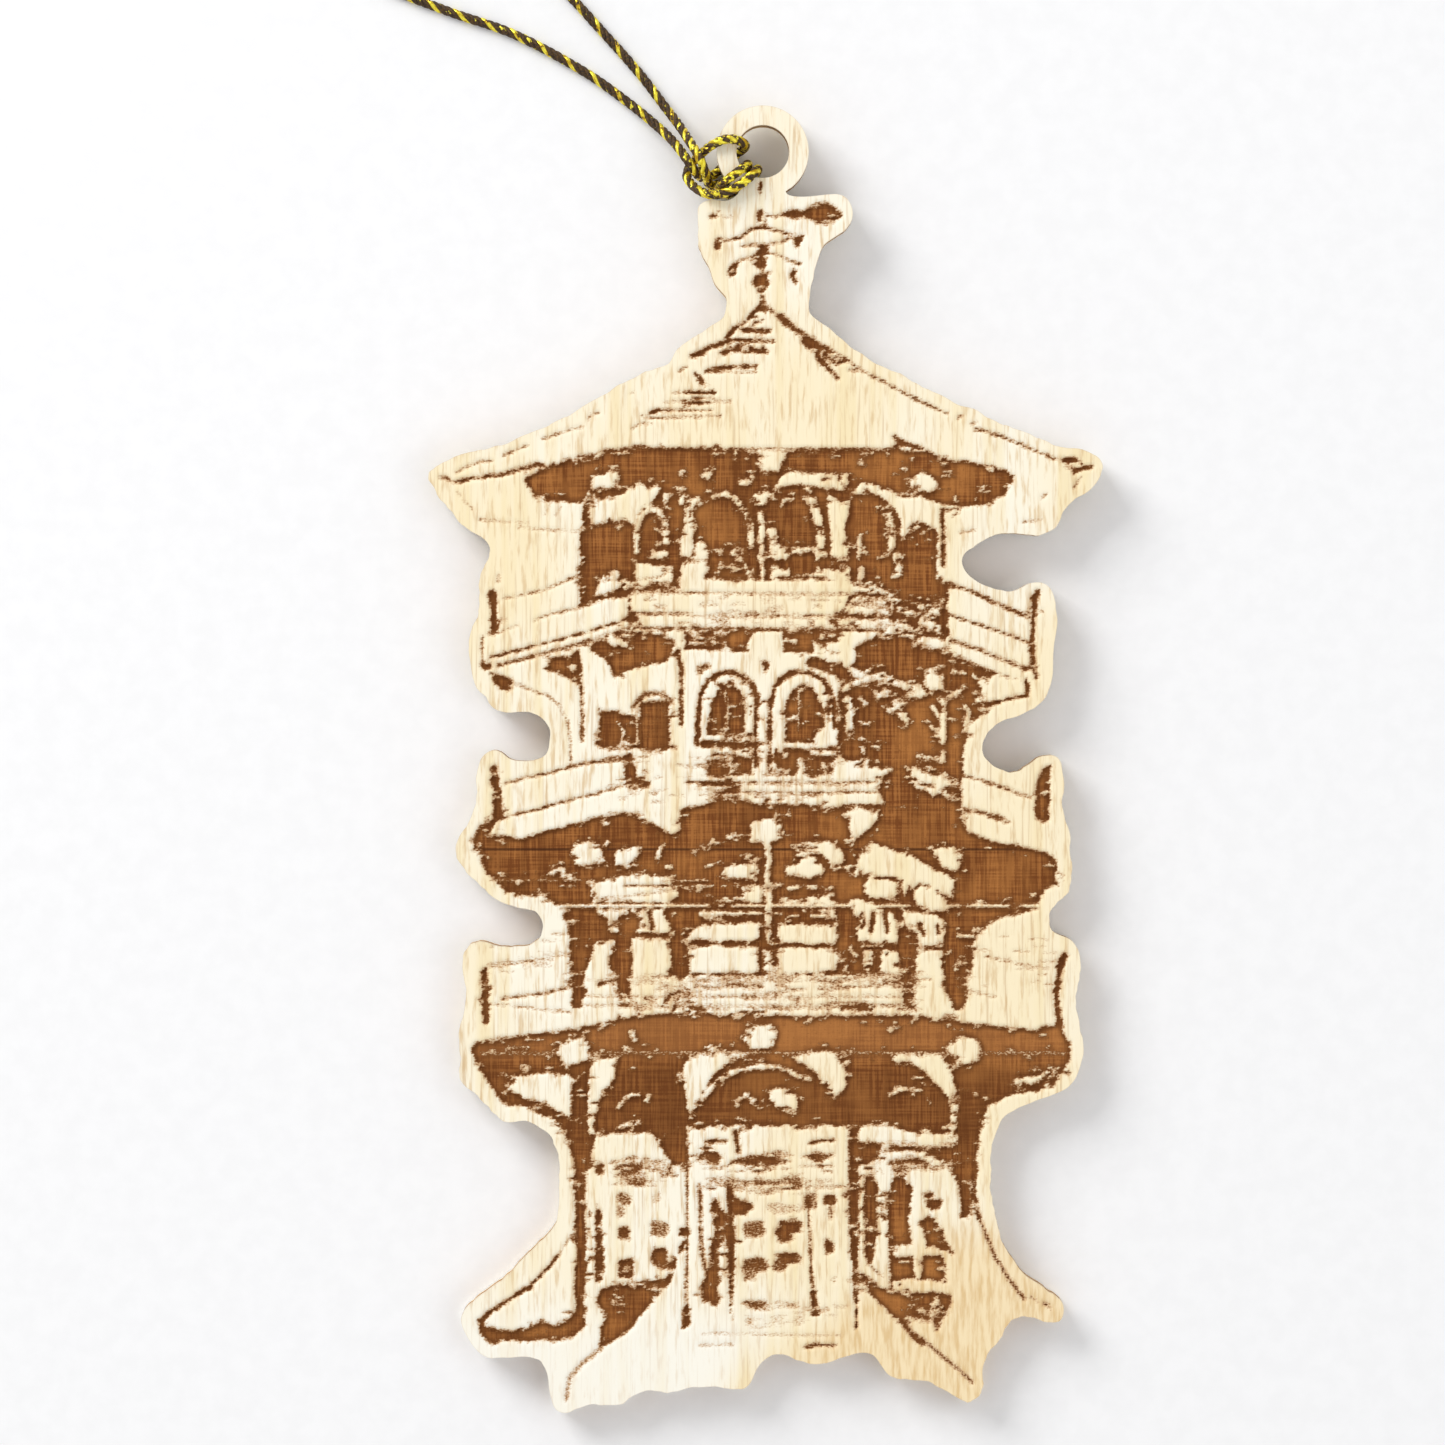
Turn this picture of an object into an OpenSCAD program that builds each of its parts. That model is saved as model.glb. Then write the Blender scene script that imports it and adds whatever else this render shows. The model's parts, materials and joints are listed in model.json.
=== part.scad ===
// Flat laser-cut Christmas ornament: a three-ply wooden tag in the outline of a
// four-storey pagoda, with a hanging ring on top and a loop of cord hitched to the ring.
// It lies face up. X runs across the tag, Y from its foot to its ring, Z up out of its face.
// The origin is on the surface it lies on, under the middle of the wood.
// Lengths are in millimetres, angles in degrees.

/* [Plate] */
// Height of the wood, from the lowest foot to the top of the ring
plate_height = 114; // [100:1:130]
// Thickness of the plywood
plate_t = 3; // [2.8:0.1:3.2]
// Thickness of each of the two face veneers
veneer_t = 0.6; // [0.4:0.1:0.8]
// Slope of the wood, which rests on its foot and on the cord that passes under its ring
rest_tilt = 0.6; // [0.6:0.05:0.75]

/* [Hanging ring] */
// Outside diameter of the ring
ring_d = 8; // [7.8:0.1:8.1]
// Diameter of its hole
bore_d = 4.6; // [4.5:0.1:4.8]

/* [Cord] */
// Diameter of the cord
cord_d = 0.86; // [0.7:0.02:0.9]
// Largest diameter of the knot that closes the loop
knot_d = 2.6; // [2.4:0.1:3]
// Length of the knot
knot_len = 2.6; // [2:0.1:3]

/* [Hidden] */

wood = [0.93, 0.85, 0.66];
core_wood = [0.66, 0.47, 0.28];
gold = [0.72, 0.58, 0.16];

scale_up = plate_height / 114;
foot_y = -57 * scale_up;
ring_at = [-0.3, 53] * scale_up;
core_t = plate_t - 2 * veneer_t;

// The knot's inner face, where the two ends of the loop enter it, and its outward direction
knot_at = [-50, 88];
knot_angle = 135;
knot_z = knot_d / 2;
tube_sides = 8;

// Wavy outline for a plate 114 mm high, anticlockwise from the left side of the ring's neck
left_neck = [
    [-1.9, 50.2], [-2.7, 49.1], [-3.6, 48.7], [-4.9, 48.8], [-6, 48.1], [-5.8, 45.8],
    [-5.8, 44.6], [-4.8, 42.6], [-4.6, 41.6], [-3.7, 40.6], [-3.6, 38.8]
];
left_roof = [
    [-7.7, 35.9], [-8.3, 34.7], [-9.1, 34.1], [-10.3, 33.9], [-15.7, 31], [-17.1, 30],
    [-23.5, 27.3], [-26.1, 26.9], [-29.1, 25.5], [-29.4, 24.7], [-28.3, 22.7], [-27.1, 21.5],
    [-26.3, 20.3], [-24.3, 19.1], [-24, 18], [-24.8, 16.2], [-25.2, 12], [-25.8, 11],
    [-25.6, 7], [-24.9, 6.2], [-23.5, 4.4], [-20.7, 4.3], [-19, 3.2]
];
left_storeys = [
    [-18.9, 0.8], [-19.5, 0.2], [-21.9, 0], [-23.7, 1.1], [-25.2, -0.5], [-25.3, -4],
    [-27.1, -7.9], [-24.5, -11.2], [-22.5, -12.7], [-20.3, -12.9], [-19.4, -14.3],
    [-20.3, -16], [-23.1, -16.2], [-25.3, -15.6], [-26.4, -17.3], [-26.1, -20.9],
    [-26.8, -23.7], [-26.6, -26.7], [-26.8, -27.8], [-24.7, -29.6], [-22.9, -31.5],
    [-20.7, -31.4], [-18.9, -32.6], [-18, -34.9], [-18.1, -38.9], [-18.6, -40.7],
    [-20.9, -43.1], [-22.1, -44.5]
];
foot = [
    [-24.1, -46.1], [-26, -47.4], [-26.6, -48.4], [-26.4, -49.5], [-25.5, -51.1],
    [-24.6, -51.9], [-23.2, -52.1], [-20.6, -51.8], [-19.3, -52.6], [-19, -53.7],
    [-19, -55.2], [-18.5, -56.5], [-17.6, -57], [-16.4, -56.5], [-15.2, -56.1],
    [-13.3, -56.3], [-12.4, -56], [-11.5, -55.2], [-9.8, -54.8], [-8.5, -55.2],
    [-6.8, -54.6], [-4, -54.6], [-2.1, -54.9], [-1.3, -54.4], [-0.9, -53.2],
    [-0.1, -52.1], [1.2, -51.6], [2.9, -52.3], [4.3, -52.6], [6.4, -52.2], [8.4, -51.5],
    [9.6, -52], [10.4, -53.3], [11.3, -53.9], [12.9, -53.8], [15.9, -54.9], [16.8, -55.6],
    [17.8, -55.9], [18.7, -55.4], [19, -54.3], [18.8, -53], [19.1, -51.7], [20.2, -50.9],
    [20.9, -49.3], [21.9, -48.4], [23.3, -48.5], [25, -49.1], [25.9, -48.5], [26, -47.4],
    [25, -46.4]
];
right_storeys = [
    [22.8, -45], [21.7, -43.6], [20.5, -41.5], [19.6, -36.8], [20.5, -31.1], [25.6, -29],
    [27.1, -27.5], [27.7, -25], [27.3, -23.6], [27, -20.3], [27.3, -18.5], [27, -15.8],
    [24.8, -14.8], [24.9, -12.5], [26.3, -11.8], [26.6, -9.2], [26.3, -7.6], [26.7, -6.6],
    [25.9, -4.8], [25.9, -0.9], [25.6, 0.1], [24.6, 0.7], [23.4, 0.3], [22.3, -0.8],
    [20.9, -1.1], [18.9, 0.4], [19.5, 2.8], [23.7, 4.8]
];
right_roof = [
    [24.9, 7.3], [25, 9.3], [25.3, 13], [25, 14.8], [24.2, 15.6], [23, 15.6], [20.9, 14.7],
    [17.8, 15.8], [17, 17.8], [19.1, 19.3], [20.5, 19.7], [24, 19.7], [25.2, 20.2],
    [26.1, 22.2], [27.4, 23], [28.9, 24.4], [29.4, 25.6], [28.5, 26.7], [26.6, 27.2],
    [24.6, 27.7], [19.1, 30],
    [18.1, 30.7], [16.8, 31], [10.9, 34], [8.8, 35]
];
right_neck = [
    [4.1, 38.7], [3.6, 39.5], [4.2, 42.2], [4.6, 44.4], [5.5, 45.4], [6.9, 46.2],
    [7.6, 47.4], [7.3, 48.6], [6.2, 49.3], [3.8, 49.1], [2, 49.2], [1.3, 50.2]
];
outline = concat(left_neck, left_roof, left_storeys, foot, right_storeys, right_roof, right_neck);

// Heights of the cord's centre line: on the surface, under the ring and over the ring
on_floor = 0.46;
over = 4.8;

// Left strand of the loop, from the knot to the ring
left_strand = [
    [-50.35, 87.65, 1.3], [-49.25, 86.55, 1.3], [-46.6, 82.6, 0.6], [-43.5, 77, on_floor],
    [-39, 71.8, on_floor], [-33.8, 68, on_floor], [-28, 65.6, on_floor], [-22, 63.5, on_floor],
    [-16, 60.3, on_floor], [-12, 57.5, 0.5], [-9.6, 55.5, 1.1], [-8.2, 54.1, 2.3],
    [-7.3, 52.9, 3.5], [-6.7, 52, 3.9], [-6.2, 51.3, 3.4]
];
// First pass: down inside the bight, under the ring, up its hole and over it
first_pass = [
    [-5.9, 51, 2.3], [-5.5, 50.9, 1.2], [-4.8, 51.1, 0.5], [-4, 51.7, on_floor],
    [-3.2, 52.5, on_floor], [-2.5, 53.1, 0.55], [-2, 53.4, 1.2], [-1.85, 53.5, 2.4],
    [-1.85, 53.55, 3.7], [-2.15, 53.75, 4.6], [-2.8, 53.95, 4.85], [-3.6, 53.95, over],
    [-4.5, 53.6, 4.6], [-5.3, 53.1, 3.9]
];
bight = [
    [-5.9, 52.6, 2.9], [-6.55, 52, 2.3], [-6.9, 51, 2.3], [-6.5, 50.2, 3.1], [-5.7, 49.5, 4.1],
    [-4.7, 49.15, 4.75]
];
// Second pass: over the ring, down its hole and back under it
second_pass = [
    [-3.5, 49.35, over], [-2.3, 50, 4.85], [-1.3, 50.8, over], [-0.85, 51.3, 4.3],
    [-0.75, 51.5, 3.2], [-0.75, 51.5, 1.8], [-0.9, 51.3, 0.9], [-1.45, 50.7, on_floor],
    [-2.4, 49.95, on_floor], [-3.3, 49.55, 0.5]
];
// Third pass: up outside the ring, over it, down its hole and back under it
third_pass = [
    [-3.9, 49.55, 0.9], [-4.15, 49.75, 1.9], [-4.15, 49.85, 3.3], [-3.85, 50.1, 4.5],
    [-3.1, 50.65, 4.9], [-2.3, 51.25, 4.85], [-1.75, 51.7, 4.4], [-1.6, 51.9, 3.3],
    [-1.6, 51.9, 1.8], [-1.75, 51.75, 0.85], [-2.35, 51.3, on_floor], [-3.2, 50.75, on_floor],
    [-4.1, 50.4, 0.5]
];
// Right strand, up inside the bight, over it and back to the knot
right_strand = [
    [-4.75, 50.2, 1], [-5, 50.3, 2], [-5.15, 50.7, 3.1], [-5.45, 51.5, 4.2], [-5.9, 52.6, 4.5],
    [-6.6, 53.8, 3.5], [-7.5, 55.3, 1.9], [-8.8, 57.1, 0.8], [-11, 60, on_floor],
    [-14, 63.4, on_floor], [-18.5, 68.2, on_floor], [-24.5, 73.5, on_floor], [-31.5, 78, on_floor],
    [-39, 81.5, on_floor], [-45, 84.6, 0.7], [-48.55, 87.25, 1.3], [-49.65, 88.35, 1.3]
];
route = concat(left_strand, first_pass, bight, second_pass, third_pass, right_strand);

// The two loose ends beyond the knot
tail_start = knot_at + knot_len * [cos(knot_angle), sin(knot_angle)];
tail_routes = [
    [for (p = [[-0.35, -0.35, 1.3], [-0.85, 0.15, 1.3], [-2.2, 0.9, 0.6], [-4.6, 1.8, 0.46]])
        [tail_start[0], tail_start[1], 0] + p],
    [for (p = [[0.35, 0.35, 1.3], [-0.15, 0.85, 1.3], [-0.9, 2.3, 0.6], [-1.5, 4.4, 0.46]])
        [tail_start[0], tail_start[1], 0] + p]
];

// One point of the smooth curve through four points, between the middle two
function blend(a, b, c, d, t) =
    (2 * b + (c - a) * t + (2 * a - 5 * b + 4 * c - d) * t * t
        + (3 * b - a - 3 * c + d) * t * t * t) / 2;

// The same corners with a smooth half-way point added between each two
function smoothed(p) = let (n = len(p)) [
    for (i = [0 : n - 1], t = i < n - 1 ? [0, 0.5] : [0])
        blend(p[max(i - 1, 0)], p[i], p[min(i + 1, n - 1)], p[min(i + 2, n - 1)], t)
];

function unit(v) = v / norm(v);
function along(p, i) = unit(p[min(i + 1, len(p) - 1)] - p[max(i - 1, 0)]);

// A direction square to the curve at each point, carried along it without twisting
function sides_of(p, i = 0, last = [0, 0, 1]) =
    i == len(p) ? [] :
    let (t = along(p, i), s = unit(last - (last * t) * t))
    concat([s], sides_of(p, i + 1, s));

// Solid round tube along a list of points
module tube(p, d) {
    side = sides_of(p);
    rings = len(p);
    corners = [
        for (i = [0 : rings - 1], k = [0 : tube_sides - 1])
            let (a = 360 * k / tube_sides, s = side[i], u = cross(along(p, i), s))
            p[i] + d / 2 * (cos(a) * s + sin(a) * u)
    ];
    walls = [
        for (i = [0 : rings - 2], k = [0 : tube_sides - 1])
            let (j = (k + 1) % tube_sides, a = i * tube_sides, b = a + tube_sides)
            each [[a + k, b + k, b + j], [a + k, b + j, a + j]]
    ];
    start_cap = [[for (k = [0 : tube_sides - 1]) k]];
    end_cap = [[for (k = [tube_sides - 1 : -1 : 0]) (rings - 1) * tube_sides + k]];
    polyhedron(corners, concat(walls, start_cap, end_cap));
}

// Sets the wood down on its foot, with its ring end raised
module at_rest() {
    translate([0, foot_y, 0]) rotate([rest_tilt, 0, 0]) translate([0, -foot_y, 0]) children();
}

// One layer of the plywood: the wavy outline, the ring and the ring's hole
module ply(bottom, t) {
    at_rest() translate([0, 0, bottom]) difference() {
        union() {
            linear_extrude(t) polygon(scale_up * smoothed(outline));
            translate(ring_at) cylinder(h = t, d = ring_d, $fn = 96);
        }
        translate([ring_at[0], ring_at[1], -1]) cylinder(h = t + 2, d = bore_d, $fn = 72);
    }
}

module front_veneer() {
    color(wood) ply(plate_t - veneer_t, veneer_t);
}

module core_ply() {
    color(core_wood) ply(veneer_t, core_t);
}

module back_veneer() {
    color(wood) ply(0, veneer_t);
}

module hang_cord() {
    color(gold) tube(route, cord_d);
}

// The knot lies on its side, with flat ends where the cord enters and leaves it
module end_knot() {
    end_r = 0.38 * knot_d;
    color(gold)
        translate([knot_at[0], knot_at[1], knot_z]) rotate([90, 0, knot_angle + 90])
            rotate_extrude($fn = 32)
                polygon([
                    [0, 0], [end_r, 0], [knot_d / 2, 0.3 * knot_len], [knot_d / 2, 0.7 * knot_len],
                    [end_r, knot_len], [0, knot_len]
                ]);
}

module cord_tails() {
    color(gold) for (p = tail_routes) tube(p, cord_d);
}

front_veneer();
core_ply();
back_veneer();
hang_cord();
end_knot();
cord_tails();
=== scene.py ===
"""Laser-engraved plywood ornament lying face up, with its metallic hanging cord.

Lengths in this file are millimetres. They become metres where a mesh, lamp or camera is made.
"""
import json
import math
import bpy
import numpy as np
from mathutils import Matrix, Vector, geometry


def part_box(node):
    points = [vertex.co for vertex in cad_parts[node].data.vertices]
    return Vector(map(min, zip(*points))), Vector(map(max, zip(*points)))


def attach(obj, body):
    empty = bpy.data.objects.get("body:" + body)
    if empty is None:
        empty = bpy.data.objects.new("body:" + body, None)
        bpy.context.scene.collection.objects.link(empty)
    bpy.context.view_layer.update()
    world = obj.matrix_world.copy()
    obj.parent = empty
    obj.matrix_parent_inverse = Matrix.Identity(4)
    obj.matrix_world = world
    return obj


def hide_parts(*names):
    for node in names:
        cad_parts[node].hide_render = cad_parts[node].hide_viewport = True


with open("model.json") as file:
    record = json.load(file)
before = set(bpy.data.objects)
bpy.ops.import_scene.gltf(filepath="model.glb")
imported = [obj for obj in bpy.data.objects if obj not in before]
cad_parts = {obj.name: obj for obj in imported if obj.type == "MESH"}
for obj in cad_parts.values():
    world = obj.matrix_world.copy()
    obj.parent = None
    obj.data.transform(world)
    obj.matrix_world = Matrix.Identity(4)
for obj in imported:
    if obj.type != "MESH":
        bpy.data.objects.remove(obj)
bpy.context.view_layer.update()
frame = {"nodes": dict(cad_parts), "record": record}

MM = 0.001

# ---------------------------------------------------------------- camera

VIEW_CENTRE = (-3.8, 3.3)
VIEW_SPAN = 125.65
LENS = 170
SENSOR = 36


def make_camera(face_z):
    """Looks straight down, with the ring at the top of the picture."""
    data = bpy.data.cameras.new("camera")
    data.lens = LENS
    data.sensor_width = SENSOR
    data.clip_start = 0.01
    camera = bpy.data.objects.new("camera", data)
    height = VIEW_SPAN * LENS / SENSOR
    camera.location = Vector((*VIEW_CENTRE, face_z + height)) * MM
    bpy.context.collection.objects.link(camera)
    bpy.context.scene.camera = camera


# ---------------------------------------------------------------- small helpers

def mesh_object(name, points, faces, smooth=True, **attributes):
    """A mesh object from points in millimetres, with one float attribute per keyword."""
    mesh = bpy.data.meshes.new(name)
    points = np.asarray(points, dtype=float) * MM
    mesh.from_pydata(points.tolist(), [], faces)
    mesh.validate()
    for key, values in attributes.items():
        layer = mesh.attributes.new(key, "FLOAT", "POINT")
        layer.data.foreach_set("value", np.asarray(values, dtype=np.float32))
    mesh.polygons.foreach_set("use_smooth", [smooth] * len(mesh.polygons))
    mesh.update()
    piece = bpy.data.objects.new(name, mesh)
    bpy.context.collection.objects.link(piece)
    return piece


def spline(points, step, closed=False):
    """Points about one step apart along the smooth curve through the given points."""
    p = np.asarray(points, dtype=float)
    n = len(p)
    spans = n if closed else n - 1
    out = []
    for i in range(spans):
        if closed:
            a, b, c, d = (p[(i + k) % n] for k in (-1, 0, 1, 2))
        else:
            a, b, c, d = (p[min(max(i + k, 0), n - 1)] for k in (-1, 0, 1, 2))
        count = max(1, round(np.linalg.norm(c - b) / step))
        for t in np.arange(count) / count:
            bend = 2 * a - 5 * b + 4 * c - d
            rest = 3 * b - a - 3 * c + d
            out.append((2 * b + (c - a) * t + bend * t * t + rest * t ** 3) / 2)
    if not closed:
        out.append(p[-1])
    return np.array(out)


def edge_distance(x, y, corners, closed=True):
    """Distance from each point to a line, and whether the closed line goes round it."""
    corners = np.asarray(corners, dtype=float)
    ends = np.roll(corners, -1, axis=0) if closed else corners[1:]
    nearest = np.full(x.shape, 1e9)
    inside = np.zeros(x.shape, dtype=bool)
    for (ax, ay), (bx, by) in zip(corners, ends):
        dx = bx - ax
        dy = by - ay
        length = dx * dx + dy * dy or 1e-9
        t = np.clip(((x - ax) * dx + (y - ay) * dy) / length, 0, 1)
        nearest = np.minimum(nearest, (x - ax - t * dx) ** 2 + (y - ay - t * dy) ** 2)
        if closed and ay != by:
            crosses = (ay > y) != (by > y)
            inside ^= crosses & (x < ax + (y - ay) * dx / dy)
    return np.sqrt(nearest), inside


def smooth_noise(rng, shape, cell):
    """Random values from -1 to 1 that change smoothly over the given number of grid steps."""
    rows = np.arange(shape[0]) / cell[0]
    cols = np.arange(shape[1]) / cell[1]
    knots = rng.uniform(-1, 1, (int(rows[-1]) + 2, int(cols[-1]) + 2))
    r = rows.astype(int)
    c = cols.astype(int)
    u = (rows - r)[:, None]
    v = (cols - c)[None, :]
    u = u * u * (3 - 2 * u)
    v = v * v * (3 - 2 * v)
    top = knots[np.ix_(r, c)] * (1 - v) + knots[np.ix_(r, c + 1)] * v
    low = knots[np.ix_(r + 1, c)] * (1 - v) + knots[np.ix_(r + 1, c + 1)] * v
    return top * (1 - u) + low * u


# ---------------------------------------------------------------- engraving

GRID = 0.22
SOFT_EDGE = 0.3
# How far the edge of a burnt patch wanders, and over how many grid steps, up and across
WOBBLE = 0.12
FINE_WOBBLE = (1.0, 2.0)
COARSE_WOBBLE = (3.5, 2.5)
COARSE_SHARE = 0.8
THINNEST_LINE = 0.22
FLECK_REACH = 0.7
PANE = 1.15


class Pen:
    """Paints how far the laser has burnt the face, from 0 for bare wood to 1."""

    def __init__(self, half_width, half_height, seed):
        self.xs = np.arange(-half_width, half_width + GRID, GRID)
        self.ys = np.arange(-half_height, half_height + GRID, GRID)
        self.field = np.zeros((len(self.ys), len(self.xs)))
        rng = np.random.default_rng(seed)
        fine = smooth_noise(rng, self.field.shape, FINE_WOBBLE)
        coarse = smooth_noise(rng, self.field.shape, COARSE_WOBBLE)
        self.wobble = WOBBLE * (fine + COARSE_SHARE * coarse)

    def paint(self, tone, low, high, depth_inside, ragged=1.0):
        """Blends the tone in where depth_inside is above 0, with a soft ragged edge."""
        margin = 0.8
        c0, c1 = np.searchsorted(self.xs, (low[0] - margin, high[0] + margin))
        r0, r1 = np.searchsorted(self.ys, (low[1] - margin, high[1] + margin))
        x, y = np.meshgrid(self.xs[c0:c1], self.ys[r0:r1])
        cover = (depth_inside(x, y) + ragged * self.wobble[r0:r1, c0:c1]) / SOFT_EDGE + 0.5
        cover = np.clip(cover, 0, 1)
        part = self.field[r0:r1, c0:c1]
        part += (tone - part) * cover

    def burn(self, *corners, tone=1.0):
        """A burnt patch with straight-sided corners."""
        def depth_inside(x, y):
            distance, inside = edge_distance(x, y, corners)
            return np.where(inside, distance, -distance)
        self.paint(tone, np.min(corners, axis=0), np.max(corners, axis=0), depth_inside)

    def bare(self, *corners, tone=0.0):
        """A patch that the laser has left alone."""
        self.burn(*corners, tone=tone)

    def score(self, width, *points, tone=1.0, ragged=1.0):
        """A burnt line of the given width; a thin one is less ragged, so that it does not break up."""
        reach = max(width, THINNEST_LINE) / 2
        ragged *= min(1, 0.35 + width)

        def depth_inside(x, y):
            return reach - edge_distance(x, y, points, closed=False)[0]
        self.paint(tone, np.min(points, axis=0), np.max(points, axis=0), depth_inside, ragged)

    def leave(self, width, *points, tone=0.0, ragged=1.0):
        """A line that the laser has left alone."""
        self.score(width, *points, tone=tone, ragged=ragged)

    def spot(self, x, y, rx, ry, tone=1.0):
        """A burnt oval."""
        def depth_inside(u, v):
            return (1 - np.hypot((u - x) / rx, (v - y) / ry)) * min(rx, ry)
        self.paint(tone, (x - rx, y - ry), (x + rx, y + ry), depth_inside)

    def gap(self, x, y, rx, ry, tone=0.0):
        """An oval that the laser has left alone."""
        self.spot(x, y, rx, ry, tone=tone)

    def pane(self, x, y, rx, ry, tone=1.0):
        """A burnt patch between an oval and a rectangle."""
        def depth_inside(u, v):
            return (1 - (((u - x) / rx) ** 4 + ((v - y) / ry) ** 4) ** 0.25) * min(rx, ry)
        self.paint(tone, (x - rx, y - ry), (x + rx, y + ry), depth_inside)

    def hatch(self, seed, count, low, high, tones):
        """Short level scratches scattered over a rectangle, for a faint shade."""
        rng = np.random.default_rng(seed)
        for _ in range(count):
            x, y = rng.uniform(low, high)
            length = rng.uniform(0.4, 1.6)
            drop = rng.uniform(-0.08, 0.08)
            self.score(0.12, (x, y), (x + length / 2, y + drop), (x + length, y), tone=rng.uniform(*tones))

    def nearby(self, reach):
        """How much of the wood within reach of each place is burnt."""
        steps = int(round(reach / GRID))
        total = self.field.copy()
        for axis in (0, 1):
            total = sum(np.roll(total, k, axis=axis) for k in range(-steps, steps + 1)) / (2 * steps + 1)
        return total

    def fleck(self, seed, pale, dark):
        """Stray marks of the laser's scan beside the burnt edges: pale chips and dark dashes."""
        rng = np.random.default_rng(seed)
        around = self.nearby(FLECK_REACH)
        edge = (around > 0.35) & (around < 0.93)
        for count, wanted, tones in (
            (pale, edge & (self.field > 0.9), (0.1, 0.5)), (dark, edge & (self.field < 0.1), (0.5, 1.0))
        ):
            rows, cols = np.nonzero(wanted)
            for k in rng.choice(len(rows), count, replace=False):
                rx = rng.uniform(0.12, 0.36)
                ry = rng.uniform(0.09, 0.15)
                self.spot(self.xs[cols[k]], self.ys[rows[k]], rx, ry, tone=rng.uniform(*tones))


def draw_finial(pen):
    """Knobs, umbrella lines and diamonds of the spire below the ring."""
    pen.score(0.3, (-0.5, 50.3), (-0.55, 49.4))
    pen.burn((-4.9, 47.35), (-4.5, 47.6), (-4.1, 47.8), (-4.25, 47.25))
    pen.score(0.14, (-4.5, 47.35), (-2.9, 47.35), tone=0.6)
    pen.score(0.45, (-0.55, 47.75), (-0.6, 47.1))
    pen.score(0.14, (-0.3, 47.5), (0.6, 47.35), (1.7, 47.5), tone=0.8)
    pen.burn((1.6, 47.7), (2, 47.9), (3.3, 47.9), (4.1, 48.1), (4.9, 48.4), (5.8, 48.4), (6, 48.1),
             (6.6, 47.4), (5.9, 46.9), (5.2, 46.7), (4.5, 46.8), (3.9, 47.1), (3.3, 47.3), (2.2, 47.2))
    pen.score(0.18, (-4.1, 45.4), (-3.4, 45.25), (-2.1, 45.6), (-1.3, 46.25), (-0.1, 46.45),
              (0.7, 46.15), (2.1, 45.75), (3.1, 45.5))
    pen.spot(-4.25, 44.95, 0.25, 0.42)
    pen.burn((2, 45.7), (3.2, 45.65), (3.15, 45.2), (2.85, 44.6), (2.55, 44.65), (2.5, 45.2))
    pen.score(0.18, (-2.2, 44.75), (-1.1, 44.9), (0, 44.85), (0.7, 45), (1.5, 45.2), (2.2, 45.6),
              tone=0.75)
    pen.burn((-0.2, 44.9), (0.2, 44.5), (0.15, 43.6), (-0.2, 42.7), (-0.8, 42.7), (-1.4, 43.6),
             (-1, 44.1), (-0.6, 44.7))
    pen.gap(0.05, 43.9, 0.28, 0.16)
    pen.burn((-0.4, 42.4), (0, 42.1), (0.25, 41.7), (-0.1, 41.2), (-0.35, 40.5), (-0.85, 41.1),
             (-1.3, 41.5), (-1, 42.1))
    pen.score(0.2, (0.2, 44.1), (1.2, 43.95), (2.3, 43.4), (2.9, 43.2), tone=0.85)
    pen.score(0.16, (-1.4, 43.8), (-2.4, 43.5), (-2.7, 43.2), tone=0.6)
    pen.score(0.24, (-2.6, 43.2), (-2.95, 43), (-3.3, 42.5), (-3.1, 42.2), (-2.75, 42.5), (-2.6, 43))
    pen.score(0.36, (2.4, 42.6), (2.3, 42.1), (2.6, 41.7))
    pen.burn((-0.5, 40.4), (-0.3, 40.4), (-0.1, 39.6), (0, 39), (-0.6, 39.1), (-1.1, 39), (-0.7, 39.6))


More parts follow.
